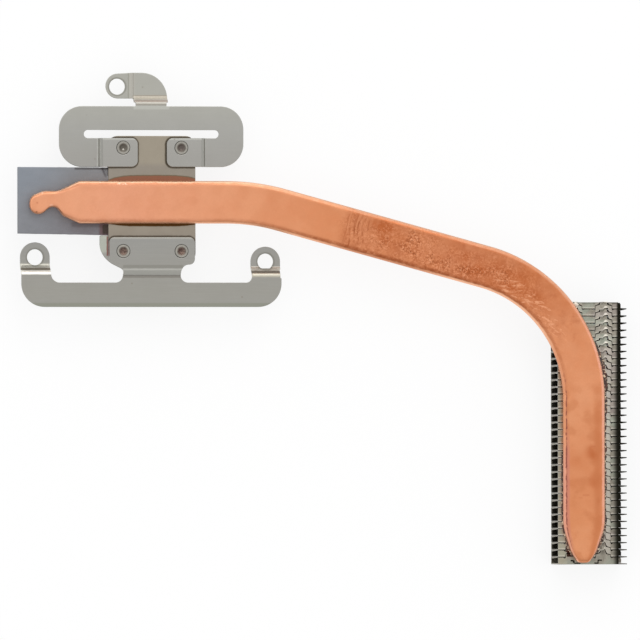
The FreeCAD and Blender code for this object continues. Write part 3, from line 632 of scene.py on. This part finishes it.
def make_flange(number, low_y):
    """Flange of one fin as rings along X, its edges following the zipper's notches and tongues, with two
    paints on it: dark, painted shade for the joints and what lies in shade, and lip, painted highlight on folds
    and shoulders."""
    is_first = number == 0
    is_last = number == LAST_FIN
    covered = 1.0 if number in COVERED else (0.6 if number < HALF_COVERED else 0.0)
    pull = PULL_MOST * min(max((HALF_COVERED - number) / 8, 0), 1)
    x = flange_stations(pull)
    away = from_tongue(x, pull)
    joint = low_y + FIN_PITCH
    reach = tongue_reach(x, 0, 0, pull)
    notch = tongue_reach(x, NOTCH_GROW * (1 - 0.4 * covered), NOTCH_SIDE * (1 - 0.7 * covered), pull)
    hook = np.interp(np.abs(away), HOOK_OUT, (0, HOOK_DEPTH, HOOK_DEPTH, 0))
    free = joint + np.where(reach > 0, reach, -FREE_GAP - hook)
    if number == LAST_FIN - 1:
        free = np.minimum(free, joint + FIN_PITCH)
    if is_last:
        free = np.full_like(x, joint - FREE_GAP)
    start = low_y + (0 if is_first else np.where(notch > 0, notch, FOLD_GAP))
    start = np.minimum(start, free - 0.02)
    share, move_y, move_z = flange_section().T
    column = np.arange(len(share))
    is_top = move_z == 0
    rings = np.zeros((len(x), len(share), 3))
    rings[..., 0] = x[:, None]
    rings[..., 1] = start[:, None] + (free - start)[:, None] * share + move_y
    rings[..., 2] = fin_hi[2] + move_z
    rings[..., 2] -= 0.1 * step_between(rings[..., 1] - (joint + 0.85), 0, 0.45)

    # lip: painted highlight on each fold, brightest at the right of the necks' tops, and on the tongues'
    # shoulders
    folded = np.interp(column, (0, 1, 2, 3, 4, 5, 6), (0, 0.15, 0.6, 1, 1, 0.12, 0))
    high = step_between(away, -0.05, 0.2) * (1 - step_between(away, 0.62, 0.9)) * (1 - 0.85 * covered)
    plain = 1 - 0.6 * covered * (np.abs(away) < 1.36)
    lip = ((0.42 + 0.58 * high) * plain)[:, None] * folded
    lip[:, 5] = np.maximum(lip[:, 5], 0.75 * high)
    shoulder = (0.16 + 0.16 * covered) * (1 - step_between(np.abs(np.abs(away) - 0.95), 0.3, 0.45))
    lip = np.maximum(lip, shoulder[:, None] * is_top) * (0.2 if is_first else 1)

    # dark: painted shade under the sheet, in the fold along each joint and at the left ends of the folds, eased
    # at the necks
    under = 1.0 * (move_z <= -FIN_T) + 0.8 * (column == 0) + 0.3 * (column == 1)
    under = under + 0.6 * (x < TONGUE_X[0] - 1.4)[:, None] * np.isin(column, (1, 2))
    quiet = 1 - 0.85 * step_between(away, -0.5, -0.35) * (1 - step_between(away, 0.3, 0.45))
    quiet = np.minimum(quiet, 1 - 0.6 * covered * (np.abs(away) < 0.6))
    # painted shade growing towards the flange's right end
    high_up = np.clip((number - 18) / 16, 0, 1)
    fade = step_between(x, FLANGE_END_X - 1.15 + 0.75 * high_up, FLANGE_END_X - 0.15 + 0.1 * high_up)
    dark = np.maximum(np.minimum(under * quiet[:, None], 1), fade[:, None])
    tip_shade = 0.4 * (1 - step_between(np.abs(away), 0.42, 0.55))[:, None] * (share > 0.7)
    dark = np.maximum(dark, tip_shade * is_top)
    # painted shade along the top fin's free edge
    if is_last:
        dark = np.maximum(dark, (0.35 + 0.25 * (x > TONGUE_X[1]))[:, None] * (share > 0.8))
    return rings, dark, lip


def fin_plates(number, lo):
    """Web and lower flange of one fin, each with its dark paint of painted shade. The web's left end leans out
    as a bar, its right end stands past the flange as a spike."""
    # painted shade inside the ducts, little for the first fin, whose duct lies open; the bars, the web's right
    # end and the spikes get their own painted shade
    inside = 0.8 if number else 0.1
    upper = number / len(FIN_NAMES)
    bar_x = lo[0] + 0.02
    web_x = np.array([lo[0], bar_x, bar_x + 0.02, FLANGE_END_X - 0.02, FLANGE_END_X, fin_hi[0]])
    web = fin_plate(web_x, lo[1], lo[1] + FIN_T, fin_lo[2], fin_hi[2] - FIN_T, FIN_RAKE)
    web[4:, 2:, 2] = fin_hi[2]
    web[5, 1:3, 1] -= 0.06
    if number:
        web[:2, :2, 1] -= 0.22
        web[4, 0::3, 1] -= 0.08 + 0.24 * upper
    web_dark = np.full(web.shape[:2], inside)
    web_dark[:2] = 0.36
    web_dark[3:] = max(inside, 0.3) + 0.2
    web_dark[5, 2:] = min(0.7 + 0.5 * upper, 1.0)
    foot_x = np.array([lo[0], lo[0] + 0.14, lo[0] + 0.22, fin_hi[0] - 0.14, fin_hi[0]])
    foot = fin_plate(foot_x, lo[1] + FIN_T, lo[1] + FIN_PITCH - 0.04, fin_lo[2], fin_lo[2] + FIN_T, 0)
    foot[-1, 1:3, 1] -= 0.3
    foot_dark = np.full(foot.shape[:2], inside)
    foot_dark[:2] = 0.25
    foot_dark[3:] = inside + 0.2
    return (web, web_dark), (foot, foot_dark)


def make_fin(fin_name, number, finish):
    """One folded fin: the flange with its zipper, the web below it, and the lower flange. Its third paint is
    tone, the sheet's own tint."""
    lo = box_mm(fin_name)[0]
    parts = [make_flange(number, lo[1])]
    parts.extend((rings, dark, np.zeros(dark.shape)) for rings, dark in fin_plates(number, lo))
    faces = []
    first = 0
    for rings, _, _ in parts:
        faces.extend(ring_faces(*rings.shape[:2], first))
        first += rings.shape[0] * rings.shape[1]
    points = np.concatenate([rings.reshape(-1, 3) for rings, _, _ in parts])
    dark, lip = [np.concatenate([part[i].ravel() for part in parts]) for i in (1, 2)]
    piece = mesh_piece(fin_name + "_sheet", points, faces, finish, False)
    face_outwards(piece)
    paint(piece, dark=dark, lip=lip, tone=np.full(len(points), rng.uniform()))
    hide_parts(fin_name)


def srgb(red, green, blue):
    """Colour as it looks on a screen, 0 to 255, turned into light."""
    share = np.array([red, green, blue]) / 255
    light = np.where(share <= 0.04045, share / 12.92, ((share + 0.055) / 1.055) ** 2.4)
    return (*light.tolist(), 1.0)


class Nodes:
    """The nodes of one material or world. A value is a number, a colour or another node's output."""

    def __init__(self, owner):
        owner.use_nodes = True
        self.tree = owner.node_tree

    def link(self, value, socket):
        """Feeds a socket with a node's output, or sets its value."""
        if isinstance(value, bpy.types.NodeSocket):
            self.tree.links.new(value, socket)
        else:
            socket.default_value = value

    def put(self, kind, inputs, output=0, **settings):
        """New node with its settings and inputs; gives back one output."""
        node = self.tree.nodes.new(kind)
        for key, value in settings.items():
            setattr(node, key, value)
        for key, value in inputs.items():
            self.link(value, node.inputs[key])
        return node.outputs[output]

    def math(self, operation, *values):
        """One math node over the values."""
        return self.put("ShaderNodeMath", dict(enumerate(values)), operation=operation)

    def times(self, first, *others):
        """Product of all the values."""
        for other in others:
            first = self.math("MULTIPLY", first, other)
        return first

    def plus(self, first, second):
        return self.math("ADD", first, second)

    def less(self, first, second):
        return self.math("SUBTRACT", first, second)

    def between(self, value, start, end, low=0.0, high=1.0):
        """Smooth change from low to high as value goes from start to end."""
        ends = {"Value": value, "From Min": start, "From Max": end, "To Min": low, "To Max": high}
        return self.put("ShaderNodeMapRange", ends, interpolation_type="SMOOTHSTEP")


class Finish(Nodes):
    """A material built node by node. Patterns read the object's own coordinates, in millimetres, and colour
    is laid over what is there, tint by tint."""

    def __init__(self, name, metallic):
        self.material = bpy.data.materials.new(name)
        super().__init__(self.material)
        self.shader = self.tree.nodes["Principled BSDF"]
        self.shader.inputs["Metallic"].default_value = metallic
        self.place = self.scaled(self.put("ShaderNodeTexCoord", {}, "Object"), (1 / MM,) * 3)

    def scaled(self, vector, scale, turn=0.0, shift=(0, 0, 0)):
        """The vector scaled, turned about Z and shifted."""
        return self.put("ShaderNodeMapping", {"Vector": vector, "Scale": scale, "Rotation": (0, 0, turn),
                                              "Location": shift})

    def noise(self, size, detail=4.0, rough=0.55, stretch=(1, 1, 1), twist=0.0, turn=0.0, shift=(0, 0, 0)):
        """Cloudy noise whose blotches are about size millimetres across."""
        spot = self.scaled(self.place, stretch, turn, shift)
        return self.put("ShaderNodeTexNoise", {"Vector": spot, "Scale": 1 / size, "Detail": detail,
                                               "Roughness": rough, "Distortion": twist})

    def cells(self, size, feature="F1"):
        """Distance from the middle, or the edge, of cells about size millimetres across."""
        return self.put("ShaderNodeTexVoronoi", {"Vector": self.place, "Scale": 1 / size}, feature=feature)

    def painted(self, name):
        """A number that paint keeps on the mesh."""
        return self.put("ShaderNodeAttribute", {}, "Fac", attribute_name=name)

    def axis(self, index):
        """One of the object's own coordinates in millimetres: 0 is X, 1 is Y."""
        return self.put("ShaderNodeSeparateXYZ", {0: self.place}, index)

    def loosen(self, reach=0.05, size=0.7):
        """X and Y of each place, moved a little by noise, so that what is drawn with them isn't ruled."""
        shakes = (self.noise(size, 3.0), self.noise(size, 3.0, shift=(5, 8, 2)))
        return [self.plus(self.axis(i), self.times(self.less(shake, 0.5), 2 * reach))
                for i, shake in enumerate(shakes)]

    def strip(self, value, start, end, soft):
        """1 from start to end, falling to 0 over the width soft at each side."""
        return self.times(self.between(value, start - soft / 2, start + soft / 2),
                          self.between(value, end - soft / 2, end + soft / 2, 1.0, 0.0))

    def length(self, dx, dy):
        """Root of the sum of the squares."""
        return self.math("SQRT", self.plus(self.times(dx, dx), self.times(dy, dy)))

    def disc(self, place, middle, radius, soft):
        """1 inside the circle, 0 beyond."""
        away = self.length(self.less(place[0], middle[0]), self.less(place[1], middle[1]))
        return self.between(away, radius - soft / 2, radius + soft / 2, 1.0, 0.0)

    def away_from_box(self, place, middle, half, r):
        """Distance from a rounded box, 0 on its outline; x is taken on both sides alike."""
        sides = (self.math("ABSOLUTE", place[0]), place[1])
        past = [self.less(self.math("ABSOLUTE", self.less(side, middle[i])), half[i] - r)
                for i, side in enumerate(sides)]
        return self.less(self.length(*[self.math("MAXIMUM", value, 0.0) for value in past]), r)

    def blend(self, share, first, second, how="MIX"):
        """Mix of two colours, the second by its share."""
        return self.put("ShaderNodeMix", {0: share, 6: first, 7: second}, 2, data_type="RGBA", blend_type=how)

    def mix(self, share, first, second):
        """Colour between two tints."""
        return self.blend(share, srgb(*first), srgb(*second))

    def ramp(self, value, length, stops):
        """Colour along a value from 0 to length, by stops of (value, red, green, blue)."""
        node = self.tree.nodes.new("ShaderNodeValToRGB")
        self.link(self.math("DIVIDE", value, length), node.inputs[0])
        places = node.color_ramp.elements
        while len(places) < len(stops):
            places.new(0.5)
        for place, stop in zip(places, stops):
            place.position = stop[0] / length
        for place, stop in zip(places, stops):
            place.color = srgb(*stop[1:])
        return node.outputs[0]

    def tint(self, share, red, green, blue):
        """Lays a tint over the colour so far."""
        self.colour = self.blend(share, self.colour, srgb(red, green, blue))

    def mark(self, place, marks):
        """Lays each mark's tint inside its box x0, x1, y0, y1."""
        for box, soft, tint, share in marks:
            inside = self.times(self.strip(place[0], box[0], box[1], soft),
                                self.strip(place[1], box[2], box[3], soft), share)
            self.tint(inside, *tint)

    def bump(self, height, depth, **more):
        """Relief from a 0 to 1 height, depth in millimetres."""
        return self.put("ShaderNodeBump", {"Height": height, "Strength": 1.0, "Distance": depth * MM, **more})

    def finish(self, roughness, normal):
        """Feeds the shader and gives back the material."""
        for key, value in (("Base Color", self.colour), ("Roughness", roughness), ("Normal", normal)):
            self.link(value, self.shader.inputs[key])
        return self.material


def copper_finish():
    """Tumbled copper: pinkish on the plate, brown and pitted past the wrinkles, light again below, with painted
    highlights and painted shade along its rims and over its wrinkles.
    """
    f = Finish("copper", 1.0)
    across, along, worn, wave = [f.painted(name) for name in ("across", "along", "worn", "wave")]
    middle = f.noise(1.3, 5.0, 0.6, twist=0.3)
    grain = f.noise(0.22, 3.0, 0.7)
    fleck = f.noise(0.36, 5.0, 0.65, twist=0.8, shift=(4, 4, 0))

    # how pitted the surface is, and slanting strokes that follow the bend
    everywhere = f.times(worn, 0.45, f.between(across, 0.75, 0.3), f.between(along, 80.0, 88.0, 1.0, 0.0))
    pitted = f.math("MAXIMUM", f.painted("pitted"), everywhere)
    pitted = f.times(pitted, f.between(f.noise(1.6, 3.0, shift=(2, 9, 0)), 0.3, 0.6, 0.25, 1.0))
    pipe_place = f.put("ShaderNodeCombineXYZ", {0: along, 1: f.times(across, PIPE_HALF)})
    slanting = f.scaled(f.scaled(pipe_place, (1, 1, 1), -0.42), (0.25, 1, 1))
    strokes = f.put("ShaderNodeTexNoise", {"Vector": slanting, "Scale": 2.4, "Detail": 4.0, "Roughness": 0.6,
                                           "Distortion": 0.6})

    # tarnish in clouds
    f.colour = f.ramp(along, 140, COPPER_TONES)
    f.tint(f.between(f.noise(5.0, 3.0), 0.3, 0.7, 0.0, 0.16), 250, 190, 150)
    f.tint(f.times(worn, f.between(middle, 0.42, 0.66, 0.0, 0.3)), 222, 148, 104)
    dull = f.between(f.noise(2.4, 5.0, 0.65, shift=(7, 3, 0)), 0.5, 0.7, 0.0, 0.35)
    f.tint(f.times(worn, dull), 172, 90, 54)
    clouds = f.between(f.noise(3.4, 3.0, 0.5, shift=(11, 2, 0)), 0.48, 0.62)
    f.tint(f.times(clouds, 0.42, f.between(along, 96.0, 106.0, 0.25, 1.0)), 196, 120, 78)
    f.tint(f.between(f.painted("patch"), 0.1, 1.0, 0.0, 0.7), 180, 92, 46)

    # flecks, strokes, wrinkles, cracks, specks and grain
    light_fleck = f.times(f.between(fleck, 0.51, 0.6), pitted)
    f.tint(f.times(light_fleck, 0.75), 240, 168, 128)
    f.tint(f.times(f.between(fleck, 0.49, 0.4), pitted, 0.8), 158, 84, 48)
    crease = f.times(f.strip(along, 77.0, 93.0, 6.0), f.strip(across, -0.85, -0.05, 0.3))
    f.tint(f.times(crease, f.between(strokes, 0.54, 0.62), 0.7), 240, 172, 132)
    # painted shade in the wrinkles' troughs and painted highlight on their crests
    wave = f.plus(wave, f.times(f.less(fleck, 0.5), f.math("ABSOLUTE", wave)))
    f.tint(f.between(wave, 0.2, 0.8, 0.0, 0.75), 164, 90, 54)
    f.tint(f.between(wave, -0.2, -1.0, 0.0, 0.5), 228, 154, 112)
    crack = f.between(f.cells(0.5, "DISTANCE_TO_EDGE"), 0.0, 0.1, 1.0, 0.0)
    crack = f.times(crack, f.between(pitted, 0.45, 0.9))
    f.tint(f.times(crack, 0.5), 128, 68, 40)
    speck = f.times(f.between(f.cells(0.42), 0.02, 0.2, 1.0, 0.0), f.between(middle, 0.45, 0.6),
                    f.plus(f.times(pitted, 0.9), 0.05))
    f.tint(speck, 112, 58, 36)
    f.tint(f.between(grain, 0.3, 0.7, 0.0, 0.12), 196, 120, 80)
    side = f.times(f.strip(across, 0.45, 0.8, 0.3), f.between(along, 98.0, 108.0))
    f.tint(f.times(side, 0.65), 197, 119, 77)

    # upper rim: painted shade where it turns down, then a pale painted highlight and a brighter one at the very
    # edge, with whitish painted highlights in spots on the first run
    edge = f.plus(across, f.times(f.less(f.noise(1.0, 2.0), 0.5), 0.07))
    edge = f.plus(edge, f.between(along, 30.0, 55.0, 0.02, 0.0))
    turn_down = f.times(f.strip(across, 0.79, 0.91, 0.06), f.between(along, 26.0, 38.0, 0.85, 0.0))
    f.colour = f.blend(turn_down, f.colour, (0.7, 0.68, 0.66, 1), "MULTIPLY")
    rim = f.between(f.less(edge, f.times(f.strip(along, 56.0, 68.0, 6.0), 0.05)), 0.79, 0.85)
    rim = f.times(rim, f.between(along, 26.0, 38.0, 0.0, 0.9),
                  f.between(f.noise(0.9, 3.0, shift=(6, 6, 0)), 0.35, 0.6, 0.6, 1.0))
    rim_tone = f.mix(f.between(along, 44.0, 54.0), (214, 158, 124), (202, 144, 112))
    rim_tone = f.blend(f.between(along, 86.0, 97.0), rim_tone, srgb(226, 162, 138))
    f.colour = f.blend(rim, f.colour, rim_tone)
    bright = f.between(along, 30.0, 45.0, 0.8, 0.35)
    f.tint(f.times(f.between(edge, 0.9, 0.95), bright), 252, 206, 172)
    white = f.times(f.between(edge, 0.76, 0.86), f.between(f.noise(0.9, 3.0, 0.7), 0.58, 0.68))
    f.tint(f.times(white, f.between(along, 14.0, 22.0, 0.6, 0.0)), 255, 222, 198)

    # lower rim: a broken painted shade line inside it, a pale painted highlight beyond, a mauve band and a fine
    # painted shade line on the last run, and a painted highlight round the tip
    line = f.times(f.strip(edge, -0.92, -0.77, 0.13), f.painted("line"),
                   f.between(f.noise(1.1, 5.0, 0.7, shift=(1, 6, 0)), 0.3, 0.62, 0.2, 0.9))
    f.tint(line, 152, 76, 40)
    f.tint(f.times(f.painted("pale"), f.between(edge, -0.88, -0.94)), 250, 190, 152)
    f.tint(f.times(f.between(along, 108.0, 116.0), f.between(edge, -0.86, -0.91), 0.5), 232, 170, 154)
    mauve = f.times(f.strip(edge, -0.88, -0.74, 0.1), f.strip(along, 110.0, 126.0, 8.0))
    f.tint(f.times(mauve, 0.55), 206, 134, 122)
    ends = f.plus(f.math("ABSOLUTE", across), f.between(along, 130.0, 136.0, 0.0, 0.16))
    f.tint(f.times(f.between(ends, 0.8, 0.88), f.between(along, 126.0, 131.0), 0.9), 255, 190, 154)
    rim_shade_line = f.times(f.strip(edge, -0.91, -0.85, 0.04), f.strip(along, 100.0, 127.0, 8.0),
                   f.between(f.noise(0.6), 0.35, 0.6, 0.15, 0.85))
    f.tint(rim_shade_line, 126, 68, 66)
    f.mark(f.loosen(), COPPER_MARKS)

    scratches = f.noise(0.35, 2.0, 0.6, stretch=(1, 0.08, 1), turn=0.6)
    relief = f.plus(f.times(grain, 0.5), f.times(scratches, 0.5))
    dents = f.less(f.times(light_fleck, 0.6), f.math("MAXIMUM", speck, crack))
    return f.finish(f.between(middle, 0.3, 0.7, 0.34, 0.46), f.bump(dents, 0.02, Normal=f.bump(relief, 0.01)))


def plated_finish():
    """Satin nickel plate, a little brown, with a painted brown shadow below the pipe, a painted red reflection
    of the pipe above it and painted shadow round the brackets' edges.
    """
    f = Finish("nickel_plate", 1.0)
    cloud = f.noise(3.0, 4.0, 0.6)
    x, y = place = f.loosen(0.07)
    f.colour = f.mix(f.between(y, -7.0, -3.0), (148, 138, 127), (160, 151, 136))
    f.tint(f.strip(y, 2.0, 5.6, 1.0), 151, 143, 132)
    f.tint(f.between(cloud, 0.35, 0.65, 0.0, 0.12), 124, 116, 102)
    # the pipe's outline, bowing up in the middle: below it a painted shadow in a brown band, above it a painted
    # reflection of the pipe, a darker line then red
    bow = f.math("ABSOLUTE", f.math("DIVIDE", f.less(x, 0.3), 7.2))
    bow = f.less(1.0, f.math("POWER", bow, 4.0))
    under = f.plus(y, f.times(bow, 0.4))
    f.tint(f.times(f.between(under, -4.0, -3.8), f.between(y, 0.0, -1.0)), 78, 52, 24)
    over = f.plus(f.less(y, f.times(bow, 0.7)), f.between(y, -2.0, -2.1, 0.0, 20.0))
    f.tint(f.between(over, 3.32, 3.14), 112, 100, 80)
    f.tint(f.between(over, 3.16, 3.0), 142, 96, 76)
    # painted shadow round the outlines of the upper bracket's tabs and the lower bracket's head, where they lie
    # on the plate
    for middle, half, r in (((8.35, 7.5), (6.0, 2.3), 1.0), ((-0.08, -8.2), (6.95, 2.2), 0.9)):
        f.tint(f.between(f.away_from_box(place, middle, half, r), 0.36, 0.14, 0.0, 0.9), 78, 70, 58)
    return f.finish(f.between(cloud, 0.3, 0.7, 0.3, 0.4), f.bump(f.noise(0.15, 3.0, 0.7), 0.005))


def spring_finish():
    """Stainless spring sheet, tumbled dull, with painted highlight and painted shade in lines along its folds
    and edges, painted shade round its screw holes, and a few stains.
    """
    f = Finish("spring_steel", 1.0)
    cloud = f.noise(4.0, 4.0, 0.6)
    hair = f.noise(0.16, 2.0, 0.6, stretch=(0.03, 1, 1))
    place = f.loosen(0.06)
    f.colour = f.ramp(f.plus(place[1], 20.0), 42, SPRING_TONES)
    f.tint(f.between(cloud, 0.35, 0.65, 0.0, 0.1), 140, 138, 130)
    f.tint(f.between(hair, 0.4, 0.7, 0.0, 0.08), 184, 182, 174)
    f.mark(place, SPRING_SHADING_AND_STAINS)
    # painted shade in a ring round each screw hole
    for middle in SCREW_HOLES:
        f.tint(f.times(f.disc(place, middle, HOLE_R + 0.24, 0.2), 0.5), 120, 118, 108)
    f.tint(f.times(f.between(f.cells(2.9), 0.02, 0.07, 1.0, 0.0), 0.35), 118, 104, 88)
    relief = f.plus(f.times(f.noise(0.12, 3.0, 0.7), 0.6), f.times(hair, 0.4))
    return f.finish(f.between(cloud, 0.3, 0.7, 0.28, 0.38), f.bump(relief, 0.005))


def rivet_finish():
    """Rivet steel: painted shade round each head, dimples darker in a ring and in their hollows, two of them
    browned, and a painted highlight in one dimple.
    """
    f = Finish("rivet_steel", 1.0)
    cloud = f.noise(0.4, 4.0, 0.6)
    bowl = f.painted("bowl")
    x, y = place = f.loosen(0.03, 0.3)
    f.colour = f.mix(f.between(cloud, 0.35, 0.65), (156, 153, 145), (170, 167, 158))
    f.tint(f.times(f.strip(bowl, 0.3, 0.85, 0.2), 0.7), 92, 86, 78)
    brown = f.mix(f.between(cloud, 0.4, 0.6), (84, 68, 62), (128, 108, 98))
    f.colour = f.blend(f.times(bowl, f.between(y, 1.0, -1.0)), f.colour, brown)
    f.tint(f.times(bowl, f.between(x, 0.0, 1.0), f.between(y, 1.0, 2.0, 0.0, 0.9)), 88, 78, 73)
    f.tint(f.times(bowl, f.between(x, 0.0, -1.0), f.between(y, 1.0, 2.0, 0.0, 0.85)), 84, 78, 70)
    # painted highlight in the upper left rivet's dimple
    bright = f.disc(place, (RIVETS[0][0] + 0.05, RIVETS[0][1] - 0.24), 0.14, 0.16)
    f.tint(f.times(bright, 0.6), 200, 197, 188)
    # painted shade on each rolled rim, where the head meets the sheet
    f.tint(f.times(f.painted("rim"), 0.85), 58, 54, 48)
    return f.finish(f.between(cloud, 0.3, 0.7, 0.3, 0.42), f.bump(cloud, 0.01))


def pad_finish():
    """Matte grey-blue silicone, mottled, mauve to the right, with painted shade along its pressed corner's
    fold, its top edge and below the pipe, and stains at its right end.
    """
    f = Finish("thermal_pad", 0.0)
    cloud = f.noise(2.2, 4.0, 0.6)
    fine = f.noise(0.12, 3.0, 0.75)
    x, y = place = f.loosen(0.05)
    along = f.between(x, -20.0, -9.0)
    f.colour = f.blend(f.between(y, -6.0, 4.0), f.mix(along, (118, 119, 123), (108, 103, 107)),
                       f.mix(along, (124, 130, 138), (120, 120, 122)))
    f.tint(f.between(cloud, 0.35, 0.65, 0.0, 0.16), 150, 152, 158)
    f.tint(f.between(fine, 0.4, 0.7, 0.0, 0.16), 158, 160, 166)
    # painted shade along the fold of the pressed corner
    f.tint(f.times(f.painted("crease"), 0.6), 70, 62, 66)
    f.mark(place, PAD_SHADE_AND_STAINS)
    return f.finish(f.between(cloud, 0.3, 0.7, 0.72, 0.86), f.bump(fine, 0.02))


def fin_finish():
    """Thin plated sheet: warm grey flanges, tinted by heat cell by cell, painted highlights on the folds, and
    painted shade that is black inside the ducts.
    """
    f = Finish("fin_sheet", 1.0)
    cloud = f.noise(0.8, 4.0, 0.65)
    heat = f.noise(2.2, 1.0, stretch=(0.5, 1, 1), shift=(3, 9, 0))
    f.colour = f.mix(f.between(cloud, 0.34, 0.66), (128, 122, 110), (162, 156, 143))
    f.tint(f.times(f.painted("tone"), 0.25), 188, 182, 170)
    f.tint(f.between(heat, 0.52, 0.64, 0.0, 0.6), 164, 172, 158)
    f.tint(f.between(heat, 0.46, 0.36, 0.0, 0.5), 158, 146, 142)
    f.tint(f.between(f.noise(0.16, 3.0, 0.7), 0.42, 0.66, 0.0, 0.2), 108, 102, 90)
    f.tint(f.between(f.axis(1), -34.0, -42.0, 0.0, 0.3), 112, 106, 94)
    f.tint(f.between(f.axis(0), fin_lo[0] + 1.7, fin_lo[0] + 1.0, 0.0, 0.5), 184, 178, 156)
    # painted highlight on the folds and shoulders
    f.tint(f.times(f.painted("lip"), 0.95), 250, 243, 230)
    f.mark(f.loosen(0.03), FIN_MARKS)
    # painted shade, black in the ducts and dark along the joints
    f.tint(f.painted("dark"), 32, 31, 25)
    return f.finish(f.between(cloud, 0.3, 0.7, 0.32, 0.48), f.bump(cloud, 0.01))


def flux_finish():
    """Baked flux: dark brown and glassy, with cream crumbs."""
    f = Finish("flux", 0.0)
    crumb = f.noise(0.36, 3.0, 0.6)
    f.colour = f.mix(f.between(f.noise(0.9), 0.4, 0.62), (34, 16, 8), (76, 34, 18))
    f.tint(f.between(crumb, 0.55, 0.62), 206, 184, 156)
    return f.finish(f.between(crumb, 0.4, 0.6, 0.35, 0.6), f.bump(crumb, 0.05))


def solder_finish():
    """Whitish solder, frosted."""
    f = Finish("solder", 0.4)
    crumb = f.noise(0.25, 4.0, 0.7)
    f.colour = f.mix(f.between(crumb, 0.4, 0.6), (206, 196, 182), (240, 231, 216))
    return f.finish(f.between(crumb, 0.4, 0.6, 0.4, 0.6), f.bump(crumb, 0.04))


def make_floor():
    """Pale floor, drawn wide, with a flat white added for the camera so that only soft shadow shows."""
    corners = [(x * FLOOR_REACH, y * FLOOR_REACH, FLOOR_Z) for x, y in ((-1, -1), (1, -1), (1, 1), (-1, 1))]
    mesh = bpy.data.meshes.new("floor")
    mesh.from_pydata((np.array(corners) * MM).tolist(), [], [(0, 1, 2, 3)])
    floor = put_in_scene("floor", mesh)
    material = bpy.data.materials.new("floor")
    mesh.materials.append(material)
    n = Nodes(material)
    shader = n.tree.nodes["Principled BSDF"]
    for key, value in (("Roughness", 0.9), ("Specular IOR Level", 0.0), ("Base Color", (0.9, 0.9, 0.9, 1))):
        shader.inputs[key].default_value = value
    seen = [n.put("ShaderNodeLightPath", {}, name) for name in ("Is Camera Ray", "Is Glossy Ray")]
    share = n.times(n.math("MAXIMUM", *seen), FLOOR_WHITE)
    white = n.put("ShaderNodeEmission", {"Strength": 1.0})
    mixed = n.put("ShaderNodeMixShader", {0: share, 1: shader.outputs[0], 2: white})
    n.link(mixed, n.tree.nodes["Material Output"].inputs["Surface"])


def make_light():
    """White all round for the camera. For light a soft sky, brighter low down on the far side and darker low
    down on the near side, so that rims that face up the picture shine and those that face down are dark."""
    world = bpy.data.worlds.new("studio")
    bpy.context.scene.world = world
    n = Nodes(world)
    split = n.tree.nodes.new("ShaderNodeSeparateXYZ")
    n.link(n.put("ShaderNodeTexCoord", {}, "Generated"), split.inputs[0])
    lowest = n.math("MAXIMUM", n.math("MULTIPLY_ADD", split.outputs[1], SKY_SIDE, SKY_LOW), SKY_LEAST)
    sky = n.between(split.outputs[2], 0.1, 0.85, lowest, SKY_TOP)
    seen = n.put("ShaderNodeLightPath", {}, "Is Camera Ray")
    strength = n.put("ShaderNodeMix", {0: seen, 2: sky, 3: 1.0}, data_type="FLOAT")
    back = n.tree.nodes["Background"]
    n.link(strength, back.inputs["Strength"])
    n.link((1, 1, 1, 1), back.inputs["Color"])
    lamp = bpy.data.lights.new("key", "AREA")
    lamp.shape = "SQUARE"
    lamp.size = LAMP_WIDTH
    lamp.energy = LAMP_POWER
    key = put_in_scene("key", lamp)
    aim = Vector(LAMP_AIM)
    key.location = aim + Vector(LAMP_OFF)
    key.rotation_mode = "QUATERNION"
    key.rotation_quaternion = (aim - key.location).to_track_quat("-Z", "Y")


def make_camera():
    """Long lens that looks almost straight down, leaning to the left side, with the photograph's frame."""
    across = Vector(VIEW_RIGHT).normalized()
    back = Vector(VIEW_BACK)
    back = (back - across * back.dot(across)).normalized()
    up = back.cross(across)
    data = bpy.data.cameras.new("camera")
    data.sensor_width = 36.0
    data.lens = data.sensor_width * VIEW_DISTANCE / VIEW_WIDTH
    data.clip_start = 0.1
    data.clip_end = 10.0
    camera = put_in_scene("camera", data)
    turn = Matrix((across, up, back)).transposed()
    camera.matrix_world = Matrix.Translation(Vector(VIEW_MIDDLE) * MM + back * VIEW_DISTANCE) @ turn.to_4x4()
    bpy.context.scene.camera = camera


spring = spring_finish()
fin_sheet = fin_finish()
flux = flux_finish()
make_pipe(copper_finish())
make_pad(pad_finish())
softened("base_plate", "base_plate_plated", plated_finish(), 0.08)
softened("upper_bracket", "upper_bracket_sheet", spring, 0.07)
softened("lower_bracket", "lower_bracket_sheet", spring, 0.07)
make_rivets(rivet_finish())
for fin_number, fin_name in enumerate(FIN_NAMES):
    make_fin(fin_name, fin_number, fin_sheet)
make_bead("flux_right", (95.6, PIPE_LENGTH - 1.2), side=1, wide=0.75, high=0.6, seed=41, finish=flux)
make_bead("flux_left", (112.0, PIPE_LENGTH - 5.5), side=-1, wide=0.2, high=0.35, seed=44, finish=flux)
make_bead("flux_tip", (PIPE_LENGTH - 6.0, PIPE_LENGTH - 0.9), side=-1, wide=0.7, high=0.45, seed=47,
          finish=flux)
make_blob("solder_spot", *SOLDER_SPOT, half_x=0.42, half_y=0.32, high=0.25, seed=51, finish=solder_finish(),
          slot="fin_sheet")

make_floor()
make_light()
make_camera()
bpy.context.scene.view_settings.view_transform = "Standard"
